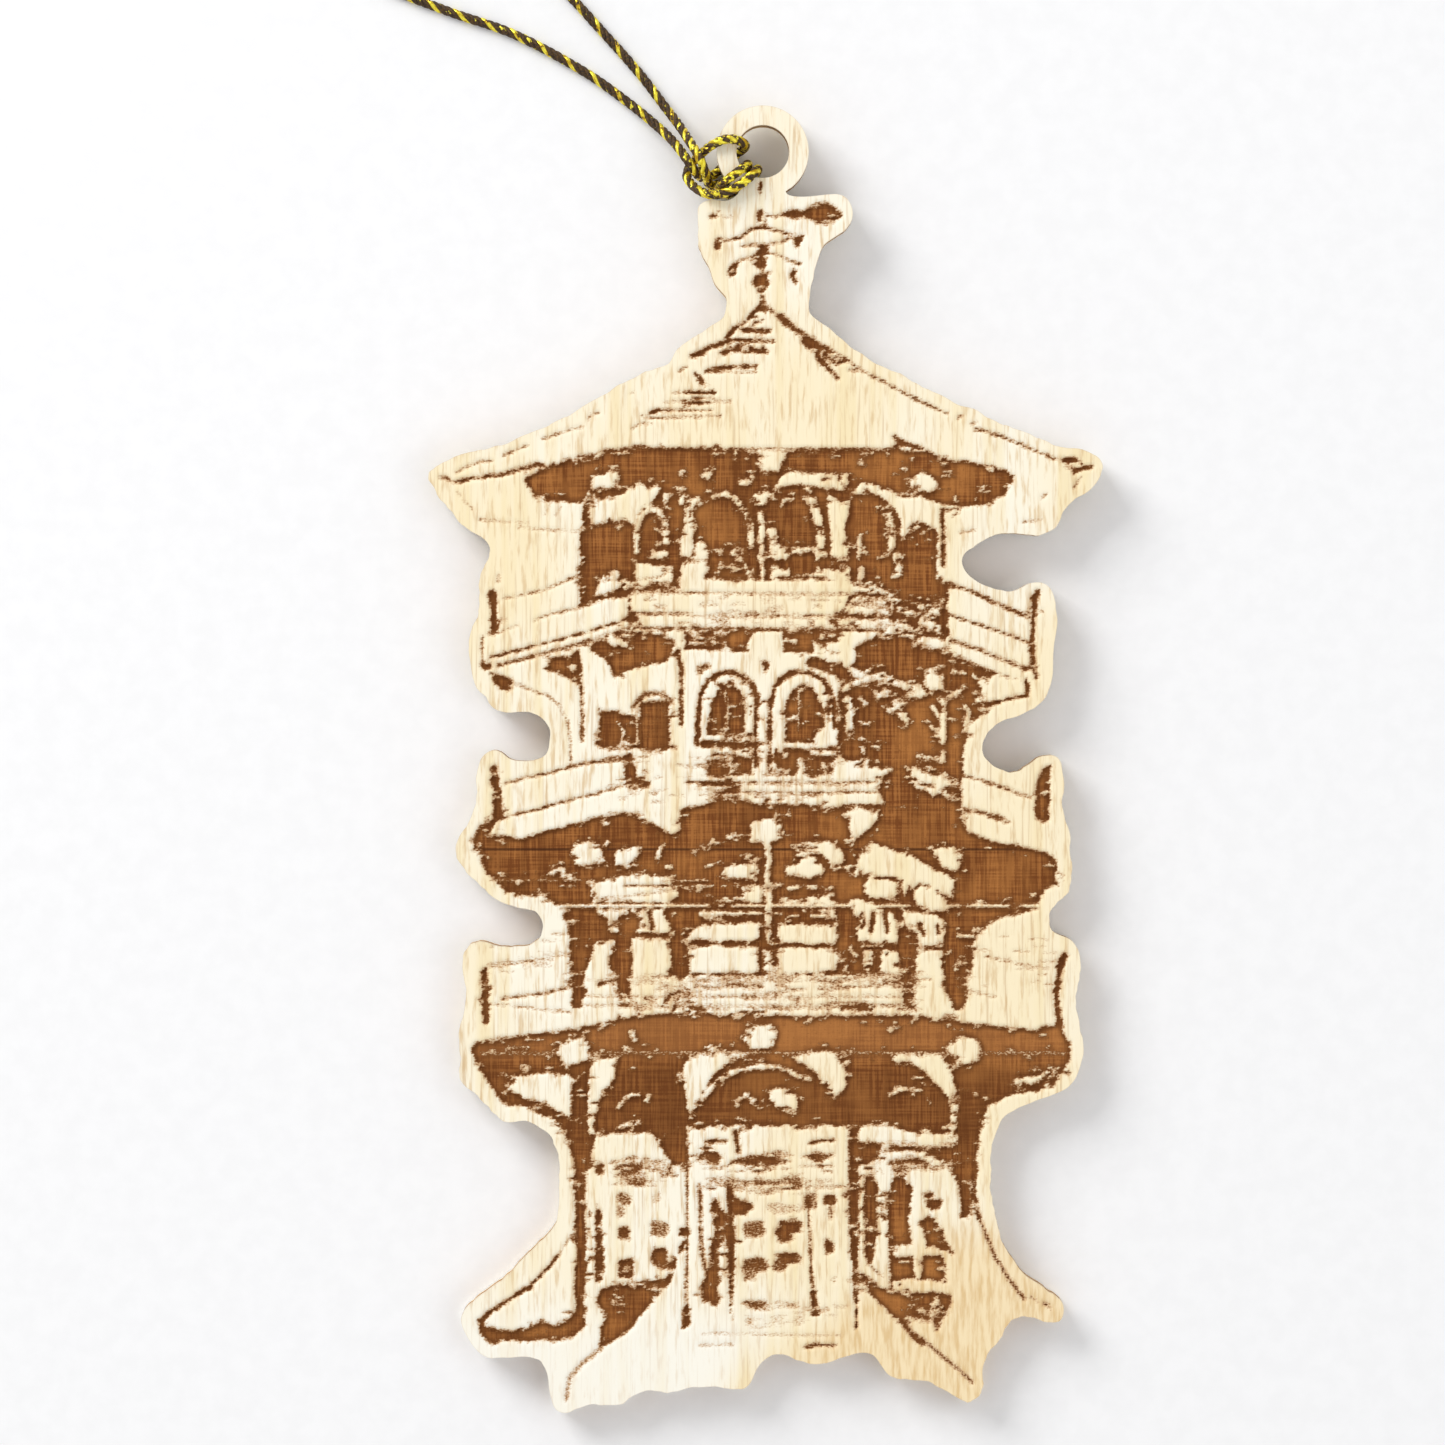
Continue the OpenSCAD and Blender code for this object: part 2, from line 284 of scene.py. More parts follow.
def draw_gable(pen):
    """Two broken ridge lines and rows of siding strokes."""
    pen.score(0.28, (-1, 39.1), (-1.6, 38.3), (-2.4, 37.8), (-3, 37.4))
    pen.burn((-2.1, 37.9), (-2.8, 37.8), (-3.4, 37.2), (-3.6, 36.7), (-3.9, 36.2), (-3.2, 36.3),
             (-2.9, 37.1))
    pen.score(0.42, (-3.9, 36.2), (-4.8, 36.1), (-5.5, 35.6), (-6.3, 35.2))
    for width, *row in (
        (0.3, (-1.1, 38.1), (-0.3, 38.3)), (0.4, (-2.1, 37.5), (0.2, 37.4)),
        (0.3, (-2.8, 36.6), (0.6, 36.5)), (0.45, (-3.8, 35.4), (-2.6, 35.75), (0, 35.6)),
        (0.4, (-2.5, 36.1), (-1.3, 35.9)), (0.25, (-5.2, 33.9), (-4.6, 34.1), (-3, 34.3), (-0.9, 34.3)),
        (0.35, (-4.6, 34.1), (-3.2, 34.2)), (0.5, (-5.8, 33.3), (-5.4, 32.8)),
        (0.2, (-6.2, 33.7), (-5.8, 33.4)), (0.36, (-7, 32), (-6, 32.05)), (0.36, (-5.8, 32), (-4.6, 32.05)),
        (0.34, (-7, 31.2), (-5.1, 31.15)), (0.3, (-10, 30.3), (-9.4, 30.5), (-8.8, 30.5)),
    ):
        pen.score(width, *row)
    for width, *row in (
        (0.14, (-4.9, 33.9), (-0.9, 33.8)), (0.14, (-8.1, 32), (-7, 32.1)),
        (0.18, (-8.9, 31.2), (-8, 31.3), (-7, 31.2)), (0.15, (-5, 31.2), (-3.1, 31.3)),
        (0.12, (-8.8, 30.5), (-4.6, 30.5)), (0.14, (-10.8, 30), (-10, 29.8), (-6.4, 29.95), (-4, 30)),
        (0.12, (-11.6, 28.9), (-11, 29.4), (-10, 29.3)), (0.16, (-15.4, 29.7), (-15.3, 30.1), (-14.6, 30.3)),
        (0.12, (-19.4, 28), (-18, 28.5), (-16, 29.1)), (0.14, (-22.8, 26.6), (-20.8, 27.4)),
        (0.16, (-27, 25.1), (-26, 25.6), (-25, 26), (-23.8, 26.1)), (0.12, (-7.6, 33.9), (-6.9, 34.3)),
        (0.14, (-12, 31.9), (-11.5, 32.1)), (0.12, (16.7, 29.8), (17, 30)),
        (0.12, (17.8, 29.3), (18.3, 29.5)),
        (0.12, (26.8, 23.8), (27.4, 24.7)), (0.12, (24, 22.9), (24.4, 23.2)),
    ):
        pen.score(width, *row, tone=0.6)
    pen.score(0.16, (0, 39.5), (1.1, 38.7))
    pen.score(0.55, (1.2, 38.6), (2.5, 37.6), (3.1, 37.2))
    pen.burn((3.1, 37), (3.5, 37), (4.3, 36.6), (5.1, 36), (4.6, 35.4), (4, 35.6), (3.4, 36), (2.9, 36.5))
    pen.score(0.2, (3.5, 36.9), (5.2, 36), (7, 34.9), (8.5, 33.9), (10, 33.1), (12, 32), (14, 31),
              (15.8, 30.2), tone=0.85)
    pen.score(0.36, (4.5, 35.1), (5.2, 34.4), (6.2, 33.3))
    pen.score(0.28, (5, 35.3), (6, 34.6), (7, 34.8))
    pen.score(0.15, (7.2, 34), (7.9, 33.9), tone=0.7)
    pen.score(0.22, (18.2, 28.9), (20, 28.4), (22.5, 27.4), (25, 26.3), (26.2, 26.1), tone=0.85)
    pen.score(0.42, (25.9, 26.1), (26.8, 26.2), (27.4, 25.9))
    pen.score(0.34, (26.8, 25.2), (27.5, 25.4), (28.3, 25.6))


def draw_top_eave(pen):
    """Dark eave under the gable, with its three lamps."""
    pen.score(0.3, (-28.3, 24.6), (-27.8, 24.6), (-27.2, 24.2), (-25.5, 24.6), (-23, 24.95), tone=0.85)
    pen.score(0.45, (-23, 24.9), (-21.7, 25.3), (-20, 25.7), tone=0.75)
    pen.burn((-21, 24.5), (-20.3, 25), (-18.5, 25.7), (-16.5, 26.5), (-14, 27.05), (-8, 27.3), (-3, 27.15),
             (-0.8, 26.8), (-0.6, 26), (-0.5, 25.2), (1.2, 25.1), (1.5, 26), (1.9, 27), (6, 27.1),
             (11, 27.1), (14, 26.9), (17, 26), (20, 25.6), (21.2, 25.1), (21.5, 24.6), (20.9, 23.3),
             (19.8, 22.5), (17, 22), (15.2, 22.3), (13.4, 23.1), (11.6, 22.6), (7.5, 22.3), (5.2, 22),
             (-16, 21), (-16, 22.4), (-18, 22.6), (-19.9, 22.7), (-20.5, 23.5))
    pen.score(0.3, (11.2, 28.2), (11.9, 27.6), (13.6, 27.2))
    pen.score(0.13, (-3, 27.1), (2, 27.12), (11, 27.1), tone=0.7)
    pen.bare((-15.2, 24.8), (-14.2, 24.9), (-13.5, 25.4), (-13, 25.4), (-12.7, 24.4), (-13.3, 23.9),
             (-13.6, 23.8), (-14.6, 23.3), (-15.2, 23.7))
    pen.bare((12.5, 24.6), (13.3, 25.15), (14.3, 25), (14.9, 24.3), (14.8, 23.6), (14, 23.4), (12.9, 23.5),
             (12.5, 24))
    pen.bare((-5.8, 24.9), (-4.7, 25), (-5, 24.4), (-5.7, 24.4))
    pen.bare((-2.5, 24.4), (-1.9, 24.5), (-1, 25.1), (-1.1, 24.4), (-1.6, 23.8), (-2.4, 23.9))
    pen.bare((1.2, 24.6), (2, 25.2), (4.5, 25), (7.1, 25), (7.1, 24), (6.4, 24.2), (6.9, 23.4), (5.5, 23.6),
             (3, 24), (1.6, 23.9), (0.8, 23.7))
    pen.bare((6.3, 22.5), (7.4, 23.4), (8.3, 24.2), (9.3, 24.1), (10.6, 23.6), (11.8, 23.1), (13.5, 22.6),
             (11.5, 22), (9.8, 22.9), (8.3, 22.6))
    for x, y, rx, ry in ((-2.7, 26.1, 0.25, 0.14), (-1.7, 26.3, 0.28, 0.2), (-7.4, 24.8, 0.3, 0.1),
                         (-9.1, 24.3, 0.25, 0.1), (8.2, 26.1, 0.25, 0.16), (8.2, 25.7, 0.28, 0.1),
                         (11.9, 25.4, 0.25, 0.4), (18.8, 23.8, 0.35, 0.12), (20.3, 24.7, 0.18, 0.12),
                         (15.7, 24.8, 0.5, 0.12)):
        pen.gap(x, y, rx, ry, tone=0.25)
    pen.spot(5.2, 24.5, 0.25, 0.15)
    pen.spot(6.4, 24.6, 0.2, 0.25)


def draw_fourth_storey(pen):
    """Windows between the top eave and the upper balcony."""
    pen.burn((-15.9, 22.6), (-15.9, 21), (-16.2, 19.5), (-16.1, 17), (-16.3, 13.4), (-15.5, 13.4),
             (-14.5, 14), (-13, 14.1), (-12, 14.3), (-11.5, 14.9), (-7.6, 14.7), (7.5, 15), (9, 15.6),
             (10.4, 14.7), (11.6, 14.2), (13, 13.8), (14.6, 13.5), (15.6, 12.8), (15.6, 15.4),
             (14.8, 15.8), (14.9, 20.1), (12, 20.1), (11.6, 21.3), (10.8, 22.4), (9.8, 23), (5, 23.6),
             (-4, 24), (-9, 24))
    pen.bare((-15.4, 22), (-14.9, 22.6), (-13.5, 23), (-12.4, 23.3), (-11.6, 24), (-10.8, 24.3),
             (-10.4, 23.7), (-9.2, 24), (-9.4, 23.3), (-9.9, 22.7), (-10.1, 22.2), (-11.1, 21.6),
             (-11.4, 20.6), (-12.5, 20.9), (-13.2, 20.7), (-13.6, 21), (-14, 20.6), (-15.3, 20.4))
    pen.leave(0.5, (-11.3, 18.2), (-11.3, 20), (-10.8, 21.4), (-10.2, 22), (-9.5, 21.8), (-8.9, 21.1),
              (-8.7, 20), (-8.7, 19))
    pen.spot(-9.7, 20.9, 0.45, 0.3, tone=0.7)
    pen.gap(-8.7, 22.8, 0.3, 0.4)
    pen.bare((-10.3, 17.7), (-9.9, 18.3), (-9, 18.4), (-8.4, 18.1), (-8.4, 17.6), (-9.5, 17.5))
    pen.bare((-11.4, 17.3), (-10.8, 17.1), (-10, 17), (-8.1, 16.9), (-8.1, 15.6), (-8.7, 15.4), (-10, 15.3),
             (-11.4, 15))
    pen.score(0.14, (-11.2, 15.8), (-9.6, 15.9), (-8.4, 16.5), tone=0.6)
    pen.bare((-14.5, 15.8), (-13.9, 16.3), (-13.1, 16.7), (-12.7, 16.2), (-13, 15.7), (-12.6, 15.3),
             (-12.7, 15), (-13.6, 14.6), (-14.9, 14.2), (-14.7, 15.2))
    pen.score(0.14, (-14.2, 15.6), (-13.2, 15.9), tone=0.7)
    pen.bare((-7.1, 22), (-6.4, 22.2), (-6.2, 20), (-6.4, 17.6), (-6.9, 17.5), (-7.6, 18), (-7.4, 19.6),
             (-7.2, 20.4))
    pen.leave(0.5, (-7.4, 22.6), (-6.9, 23), (-6.7, 22.4), (-6, 22.8))
    pen.bare((-7.5, 17.3), (-6.4, 17.4), (-6.1, 19.1), (-5.2, 19), (-4.9, 17), (-5.4, 15.9), (-5.4, 14.9),
             (-7.4, 14.9))
    pen.score(0.12, (-6.8, 17.4), (-5.2, 17.4), tone=0.7)
    # pair of round-headed windows
    pen.leave(0.5, (-4.6, 22.9), (-3.6, 23.2), (-2.6, 22.7), (-1.9, 21.8), (-1.4, 20.8), (-1.3, 19.5),
              (-1.3, 18.3))
    pen.leave(0.2, (-5.1, 18.3), (-3.6, 18.3))
    pen.leave(0.42, (-2.8, 18.15), (-1.3, 18.3))
    pen.leave(0.2, (-4.1, 16.9), (-1.8, 16.9))
    pen.leave(0.4, (-1.8, 16.8), (-1.4, 16))
    pen.leave(0.5, (-0.45, 21.3), (-0.4, 19.5), (-0.4, 17.6))
    pen.leave(0.36, (-0.3, 17), (-0.3, 15.4))
    pen.bare((-1.5, 22.6), (-0.9, 23.2), (0.3, 23.6), (1, 23.9), (0.6, 23), (-0.2, 22.2), (-1, 22.2))
    pen.bare((0.2, 20.2), (0.9, 20.2), (1, 19), (1.4, 18.6), (4.4, 18.6), (4.3, 20.2), (4, 21.6),
             (3.6, 22.6), (4.3, 22.9), (4.8, 21.6), (5.1, 20), (5.2, 17.8), (4.4, 17.4), (4.2, 18),
             (2.2, 18), (1.8, 17.5), (0.4, 17.5))
    pen.leave(0.24, (1.3, 22.2), (1.6, 22.7), (2.4, 22.8))
    pen.leave(0.22, (3.2, 22.9), (4, 22.8))
    pen.bare((5.3, 23.3), (6.6, 22.4), (7.4, 22.9), (7.2, 21.8), (6.9, 20.4), (7.2, 17.4), (5.7, 17.4),
             (5.6, 20), (5.3, 21.6))
    pen.bare((0.5, 17), (1.8, 16.9), (2.2, 16.2), (4.3, 16.2), (4.5, 16.9), (5.2, 16.7), (7.3, 16.8),
             (7.3, 15.8), (0.4, 15.8))
    pen.score(0.24, (1, 15.9), (3, 15.95), (5.2, 15.85))
    pen.leave(0.28, (8.2, 19.6), (8.1, 18.5), (8, 17.6))
    pen.leave(0.45, (8.3, 16.8), (8.2, 15.9))
    pen.leave(0.34, (10.2, 21.9), (10.6, 20.9), (10.6, 20.1))
    pen.leave(0.36, (10.8, 19.6), (10.8, 18.4))
    pen.leave(0.22, (9.7, 17.6), (10.8, 18))
    pen.bare((10.9, 17.7), (11.3, 18.1), (12, 17.8), (11.7, 17), (12.1, 16.2), (11.4, 15.9), (10.9, 16.2),
             (11.4, 16.9))
    pen.score(0.32, (12, 19.9), (13.2, 20.7), (14.6, 20.1))
    pen.leave(0.24, (12.6, 20.1), (13.4, 20.2))
    pen.score(0.36, (15.3, 21.9), (15.4, 20), (15.4, 17), tone=0.95)
    pen.leave(0.2, (15.3, 14.6), (15.3, 13.6))
    for x, y in ((-3.4, 16.2), (-3, 16.4), (9.6, 16.6), (10, 15.6), (11.4, 14.9), (10.7, 14.8), (14, 17.6),
                 (14.1, 19.2), (13.2, 18.9), (14.3, 14), (14.6, 14.4)):
        pen.gap(x, y, 0.2, 0.1, tone=0.35)


def draw_upper_balcony(pen):
    """Rails of the fourth storey: level in the middle, sloping out to a post at each side."""
    pen.bare((-11.8, 14.4), (-7.4, 14.8), (-5.3, 15.8), (5.2, 15.75), (7.3, 15.7), (7.8, 15.2), (9.9, 14.7),
             (9.9, 14.3), (7, 14.25), (6.4, 13), (5.8, 12.8), (-6.4, 12.85), (-11.8, 12.9))
    pen.bare((-11.6, 12.35), (-4, 12.4), (6, 12.35), (10.2, 12.2), (10.8, 11.9), (10.4, 11.6), (-4, 11.5),
             (-11.4, 11.65))
    pen.score(0.12, (-11.7, 14.62), (9.8, 14.5), tone=0.65)
    pen.score(0.24, (-11.8, 12.75), (-7, 12.85), (-6, 12.6), (6.2, 12.6), tone=0.85)
    pen.score(0.4, (-3.6, 12.6), (-1.9, 12.6), tone=0.8)
    pen.score(0.5, (6.1, 12.7), (9.9, 12.4))
    pen.score(0.26, (-11.4, 11.5), (-4, 11.45), (4, 11.4), (10.4, 11.35))
    pen.bare((6.8, 13.1), (7.4, 14.1), (10.4, 14.1), (10.8, 13.1))
    pen.score(0.3, (7.4, 13.5), (9, 13.9), tone=0.55)
    pen.bare((11, 13.4), (11.6, 13.9), (12.6, 13.8), (13.2, 13.3), (12.8, 12.4), (12, 12.2), (11.2, 12.8))
    pen.bare((13, 12.4), (13.6, 13), (14.6, 12.9), (15.3, 12.4), (15.4, 11.7), (15, 11.2), (14.2, 11.3),
             (13.2, 11.9))
    pen.score(0.5, (10.9, 12.5), (12.5, 12), (14, 11.1), (15.5, 10.7))
    pen.score(0.6, (15.6, 15.2), (15.4, 13), (15.6, 11))
    pen.spot(-11.7, 12.4, 0.5, 0.45)
    pen.score(0.2, (-11.8, 14.3), (-11.9, 13.4), (-11.8, 12.6))
    for width, tone, *line in (
        (0.13, 0.6, (-22.9, 14.1), (-19.5, 14.8), (-16.2, 16.2)),
        (0.16, 0.65, (-20.2, 12.2), (-18.7, 12.8), (-16.2, 13.3)),
        (0.14, 0.55, (-16, 13.4), (-14, 14.1), (-12, 14.3)),
        (0.12, 0.45, (-23, 11.3), (-21.6, 11.8)),
        (0.24, 0.85, (-24, 9), (-20.5, 9.9), (-16, 11.1), (-12.1, 12.35)),
        (0.34, 0.7, (-23.2, 8.3), (-19.5, 9.3), (-15, 10.5), (-12, 11.5)),
        (0.12, 0.5, (-21.5, 20.3), (-19, 20.1), (-16.4, 20)),
        (0.2, 0.6, (-24.9, 21), (-24, 20.9)), (0.1, 0.4, (-23.9, 20.9), (-20.6, 20.7)),
        (0.12, 0.4, (-26.9, 23.5), (-26.4, 22.8), (-25.6, 21.9)),
        (0.1, 0.4, (-18.8, 22.2), (-19.3, 21.4)), (0.1, 0.4, (-17.8, 22.2), (-18.3, 21.4)),
        (0.6, 1, (-23.8, 14.5), (-23.7, 12.8), (-23.6, 11.2)), (0.3, 0.6, (-23.3, 16.1), (-23.3, 15.6)),
        (0.16, 0.6, (-24.2, 11.05), (-23, 11.2)), (0.2, 0.65, (-24.7, 10.7), (-24.7, 8.2)),
        (0.3, 0.85, (15.8, 15.4), (17.5, 14.9), (20, 13.7), (22.9, 12.45)),
        (0.24, 0.85, (15.8, 12.8), (18, 12), (21, 11), (23, 10.2)),
        (0.36, 0.7, (16, 10.5), (18.5, 9.7), (21, 8.6), (22.5, 8)),
        (0.5, 0.95, (23.7, 14.6), (23.2, 14.1)), (0.45, 1, (23.3, 14), (23.25, 12), (23.1, 9.5), (23.3, 8.2)),
        (0.3, 0.9, (23.1, 8.1), (22.4, 8)), (0.34, 0.85, (23.3, 8), (23.5, 7.3)),
        (0.15, 0.7, (16.9, 19.8), (18.1, 20.1)), (0.15, 0.5, (22.4, 20.8), (23.9, 21)),
        (0.22, 0.6, (16.3, 21.3), (16.8, 21.7)), (0.1, 0.5, (23.3, 13), (24.1, 13)),
    ):
        pen.score(width, *line, tone=tone)
    pen.burn((-24.7, 8.4), (-23.9, 8.6), (-23.8, 8), (-24.5, 7.8))
    pen.burn((-24.3, 7.8), (-23, 7.4), (-22, 6.9), (-22, 6.4), (-22.5, 6.1), (-23.4, 6.4), (-23.7, 7.1))
    pen.score(0.18, (-22, 6.8), (-20.5, 6.2), (-18.9, 5.6), (-18, 4.8), (-17.3, 3.5), (-17, 1.4), (-17, 0),
              tone=0.6)


def draw_third_storey(pen):
    """Eave, arched openings and wall between the upper and the middle balcony."""
    pen.burn((-19.2, 8), (-18.5, 9), (-17, 9.2), (-16.4, 9.6), (-16.1, 8.9), (-16, 7.5), (-16.2, 6.7),
             (-17, 6.9), (-17.6, 7.3), (-18.5, 7.7))
    pen.gap(-16.9, 8.1, 0.3, 0.2)
    pen.score(0.3, (-16.1, 6.6), (-16, 4), (-16, 1.8), tone=0.9)
    pen.burn((-15.3, 9.8), (-14.9, 10.4), (-13, 11.2), (-11.8, 11.3), (-9, 11), (-8, 10.6), (-8.2, 9.5),
             (-8.6, 8.6), (-10, 8.3), (-12, 7.8), (-13.3, 7.4), (-13.6, 8.3), (-14.3, 9), (-15.2, 9.5))
    pen.bare((-14, 10.7), (-13, 10.6), (-12.1, 10.4), (-12.1, 10), (-13, 9.9), (-13.9, 10.2))
    for x, y in ((-12, 8.4), (-10.5, 9.4), (-9.8, 8.4), (-9, 9)):
        pen.gap(x, y, 0.22, 0.12, tone=0.3)
    pen.burn((-14.6, 4.5), (-13.5, 4.3), (-12.6, 4.2), (-11.8, 3.8), (-10.9, 3.9), (-10.2, 3.5),
             (-9.8, 2.8), (-8.3, 1.5), (-7.7, 1), (-10, 1), (-13.5, 1), (-14.7, 1.2), (-15, 2), (-14.5, 3.4))
    pen.burn((-11, 5.2), (-8.4, 5.2), (-8.4, 1.3), (-11, 1.6), tone=0.9)
    pen.score(0.45, (-11.5, 4.8), (-10.5, 5.8), (-9.2, 5.9), (-8.2, 5.2), tone=0.7)
    pen.leave(0.16, (-13, 3.4), (-12.4, 2.6), (-12.6, 1.6))
    pen.leave(0.2, (-11.2, 4.6), (-11.2, 1.6), tone=0.2)
    pen.score(0.32, (-7.7, 9.5), (-7.4, 8), (-7.4, 5.5), (-7.4, 3))
    pen.burn((-7.1, 11.2), (-4, 11.3), (-1, 11.1), (-1.4, 10.5), (-1.6, 9.8), (-1, 9.4), (-3.5, 9.6),
             (-7, 9.7))
    pen.leave(0.28, (-6.6, 10.2), (-4.2, 10.3))
    pen.leave(0.15, (-6.3, 10.75), (-4.5, 10.6), tone=0.2)
    pen.burn((-0.4, 8.7), (0.5, 8.6), (0.2, 7.8), (-0.2, 7.6))
    pen.burn((-6.2, 8.3), (-4.8, 8.6), (-4.9, 7.9), (-5.9, 7.6), tone=0.65)
    # left arch
    pen.score(0.4, (-6, 1.4), (-6, 3), (-5.7, 5.8), (-5, 7), (-4, 7.6), (-3, 7.7), (-2, 7.3), (-1.2, 6.6),
              (-0.8, 5.5), (-0.9, 2.5), (-0.9, -0.5))
    pen.burn((-5.1, 2.3), (-4.9, 4.8), (-4.5, 5.8), (-3.8, 6.5), (-2.9, 6.5), (-2.2, 5.9), (-1.8, 5),
             (-1.9, 2.3))
    pen.leave(0.18, (-3.6, 6), (-3.3, 4.4), (-3.5, 2.6), tone=0.25)
    pen.burn((-5.6, 1.8), (-1, 1.8), (-1, 1.1), (-5.6, 1.1))
    pen.burn((-5.2, 0.3), (-1, 0.3), (-1, -1.3), (-5.2, -1.3))
    pen.leave(0.36, (-3.1, 0.1), (-3, -0.9))
    pen.leave(0.25, (-1.2, 0), (-1.1, -1))
    # right arch
    pen.score(0.45, (0.35, -1), (0.3, 3), (0.4, 5.2), (0.8, 6.5), (1.6, 7.4), (2.8, 7.8), (4, 7.6), (5, 7),
              (5.6, 6), (5.9, 5), (6, 3))
    pen.burn((1.6, 1.6), (1.7, 5), (2.3, 6.2), (3.1, 6.8), (4, 6.4), (4.7, 5.4), (5.1, 4.2), (5.1, 3),
             (4.5, 2.1), (4.4, 1.4))
    pen.leave(0.2, (2.8, 6), (2.9, 4), (2.7, 2.6), tone=0.25)
    pen.score(0.3, (5.4, 5), (5.4, 3.5))
    pen.score(0.3, (6.5, 8.5), (6.5, 5), (6.4, 1.5))
    pen.burn((0.7, 1.2), (6.3, 1.2), (6.3, -1.2), (0.7, -1.3), tone=0.9)
    for width, *line in (
        (0.4, (2.8, 1.4), (3.6, 1.2)), (0.3, (0.6, 0.5), (1.7, 0.5)), (0.3, (0.7, -0.3), (0.9, -1)),
        (0.36, (5, -0.3), (5.2, -1)), (0.5, (4.9, 2.5), (4.3, 1.9), (5, 1.3)), (0.5, (1.2, 1.2), (1.2, 0.9)),
        (0.5, (2.9, 0), (3.2, -0.6), (2.9, -1.3)), (0.4, (4, 0.7), (6, 0.6)),
    ):
        pen.leave(width, *line)
    pen.burn((1.5, 11.2), (6.3, 11.2), (6.3, 9.4), (1.5, 9.4))
    pen.leave(0.3, (1.8, 10.5), (2.5, 10.4))
    pen.bare((4, 10.3), (6.5, 10.2), (6.3, 9.5), (4.2, 9.4))
    # deep wall at the right
    pen.burn((7.8, 9.9), (9, 10.6), (10.5, 11.1), (12, 10.9), (14, 10.1), (16, 9.3), (18, 8.5), (20, 7.6),
             (18.6, 6), (19.2, 5.3), (20.2, 5.2), (19, 4.2), (17.8, 3.5), (17.3, 1.5), (17.1, 0),
             (16.9, -4), (6.5, -4), (6.5, 7.5), (7.8, 8.6))
    pen.score(0.9, (4, 8.6), (5.5, 8.2), (6.8, 7.5))
    pen.burn((16.4, -0.4), (17.1, 0.2), (17, -4.4), (16.4, -4.4))
    for width, *line in (
        (0.3, (6.7, 6.9), (7.5, 7.2), (9, 7.9)), (0.5, (6.8, 6.3), (8.6, 7.1), (9.3, 7.3)),
        (0.7, (7.1, 5.3), (7.3, 4.3), (7.2, 2.6)), (0.3, (9.6, 7.5), (10.3, 7.6)),
        (0.65, (9.7, 7), (10.8, 7), (12, 6.5), (12.7, 6.8)),
        (0.7, (13, 6.4), (13.6, 5.9), (12, 5.2), (11.4, 5)),
        (0.4, (10.7, 4.4), (11.1, 4.5)), (0.65, (11.5, 4.4), (12.2, 3.6)), (0.3, (8.6, 5), (8.2, 5.5)),
        (0.4, (7.4, 7.9), (8.2, 7.6)), (0.3, (10.2, 6.1), (11.3, 5.8)), (0.26, (8, 3.4), (8.9, 3.1)),
        (0.5, (15.1, 5.4), (15.5, 5), (15.4, 3), (15.4, 0)), (0.3, (16.1, 5.7), (16.8, 6)),
        (0.4, (17.3, 4.8), (17.7, 4.2), (17.3, 2.6)), (0.4, (14.5, 4.7), (15, 3.9)),
        (0.35, (14.4, 2.9), (14.8, 2.7)), (0.2, (8.2, 1.2), (8.5, 1.1)), (0.25, (9.2, 1.3), (9.8, 1.1)),
        (0.3, (13.2, 0.5), (14.2, 0.3), (15, 0.2)), (0.3, (16.2, 7.8), (17.3, 7.6)),
    ):
        pen.leave(width, *line)
    pen.bare((18, 7.5), (20, 7), (20.3, 7.4), (22.5, 7), (22.6, 5.9), (21, 5.7), (19.5, 5.2), (17.8, 4.9),
             (18.3, 5.5), (19, 6))
    # lanterns under the eave
    pen.bare((-16, 7.6), (-15.6, 8.7), (-15, 9), (-14.2, 8.8), (-13.7, 8.2), (-13.5, 7.4), (-13.9, 7),
             (-14.8, 6.7), (-15.7, 6.9))
    pen.bare((-1.6, 10.3), (-0.8, 11), (0.2, 11.2), (1, 11), (1.4, 10.3), (1.4, 9.5), (0.9, 8.9),
             (-0.3, 8.8), (-1.2, 9.2), (-1.6, 9.8))
    pen.bare((13.8, 8), (15.4, 8), (15.6, 7), (15.5, 6.1), (14.3, 6), (13.7, 6.8))
    pen.score(0.3, (15.6, 9.6), (17, 9.1), (19, 8.2), (20.5, 7.5), (22.5, 7.1), (22.8, 6.5), (22.7, 5.7),
              (21, 5.4), (20, 5), (18.7, 4.2), (18, 3.5), tone=0.95)
    pen.bare((10.8, 11.5), (11.6, 11.7), (13, 10.9), (15, 10.4), (17, 9.6), (19, 8.7), (22.5, 7.2),
             (22.4, 6.9), (20.8, 7.4), (18, 8.6), (15.5, 9.7), (13, 10.6))


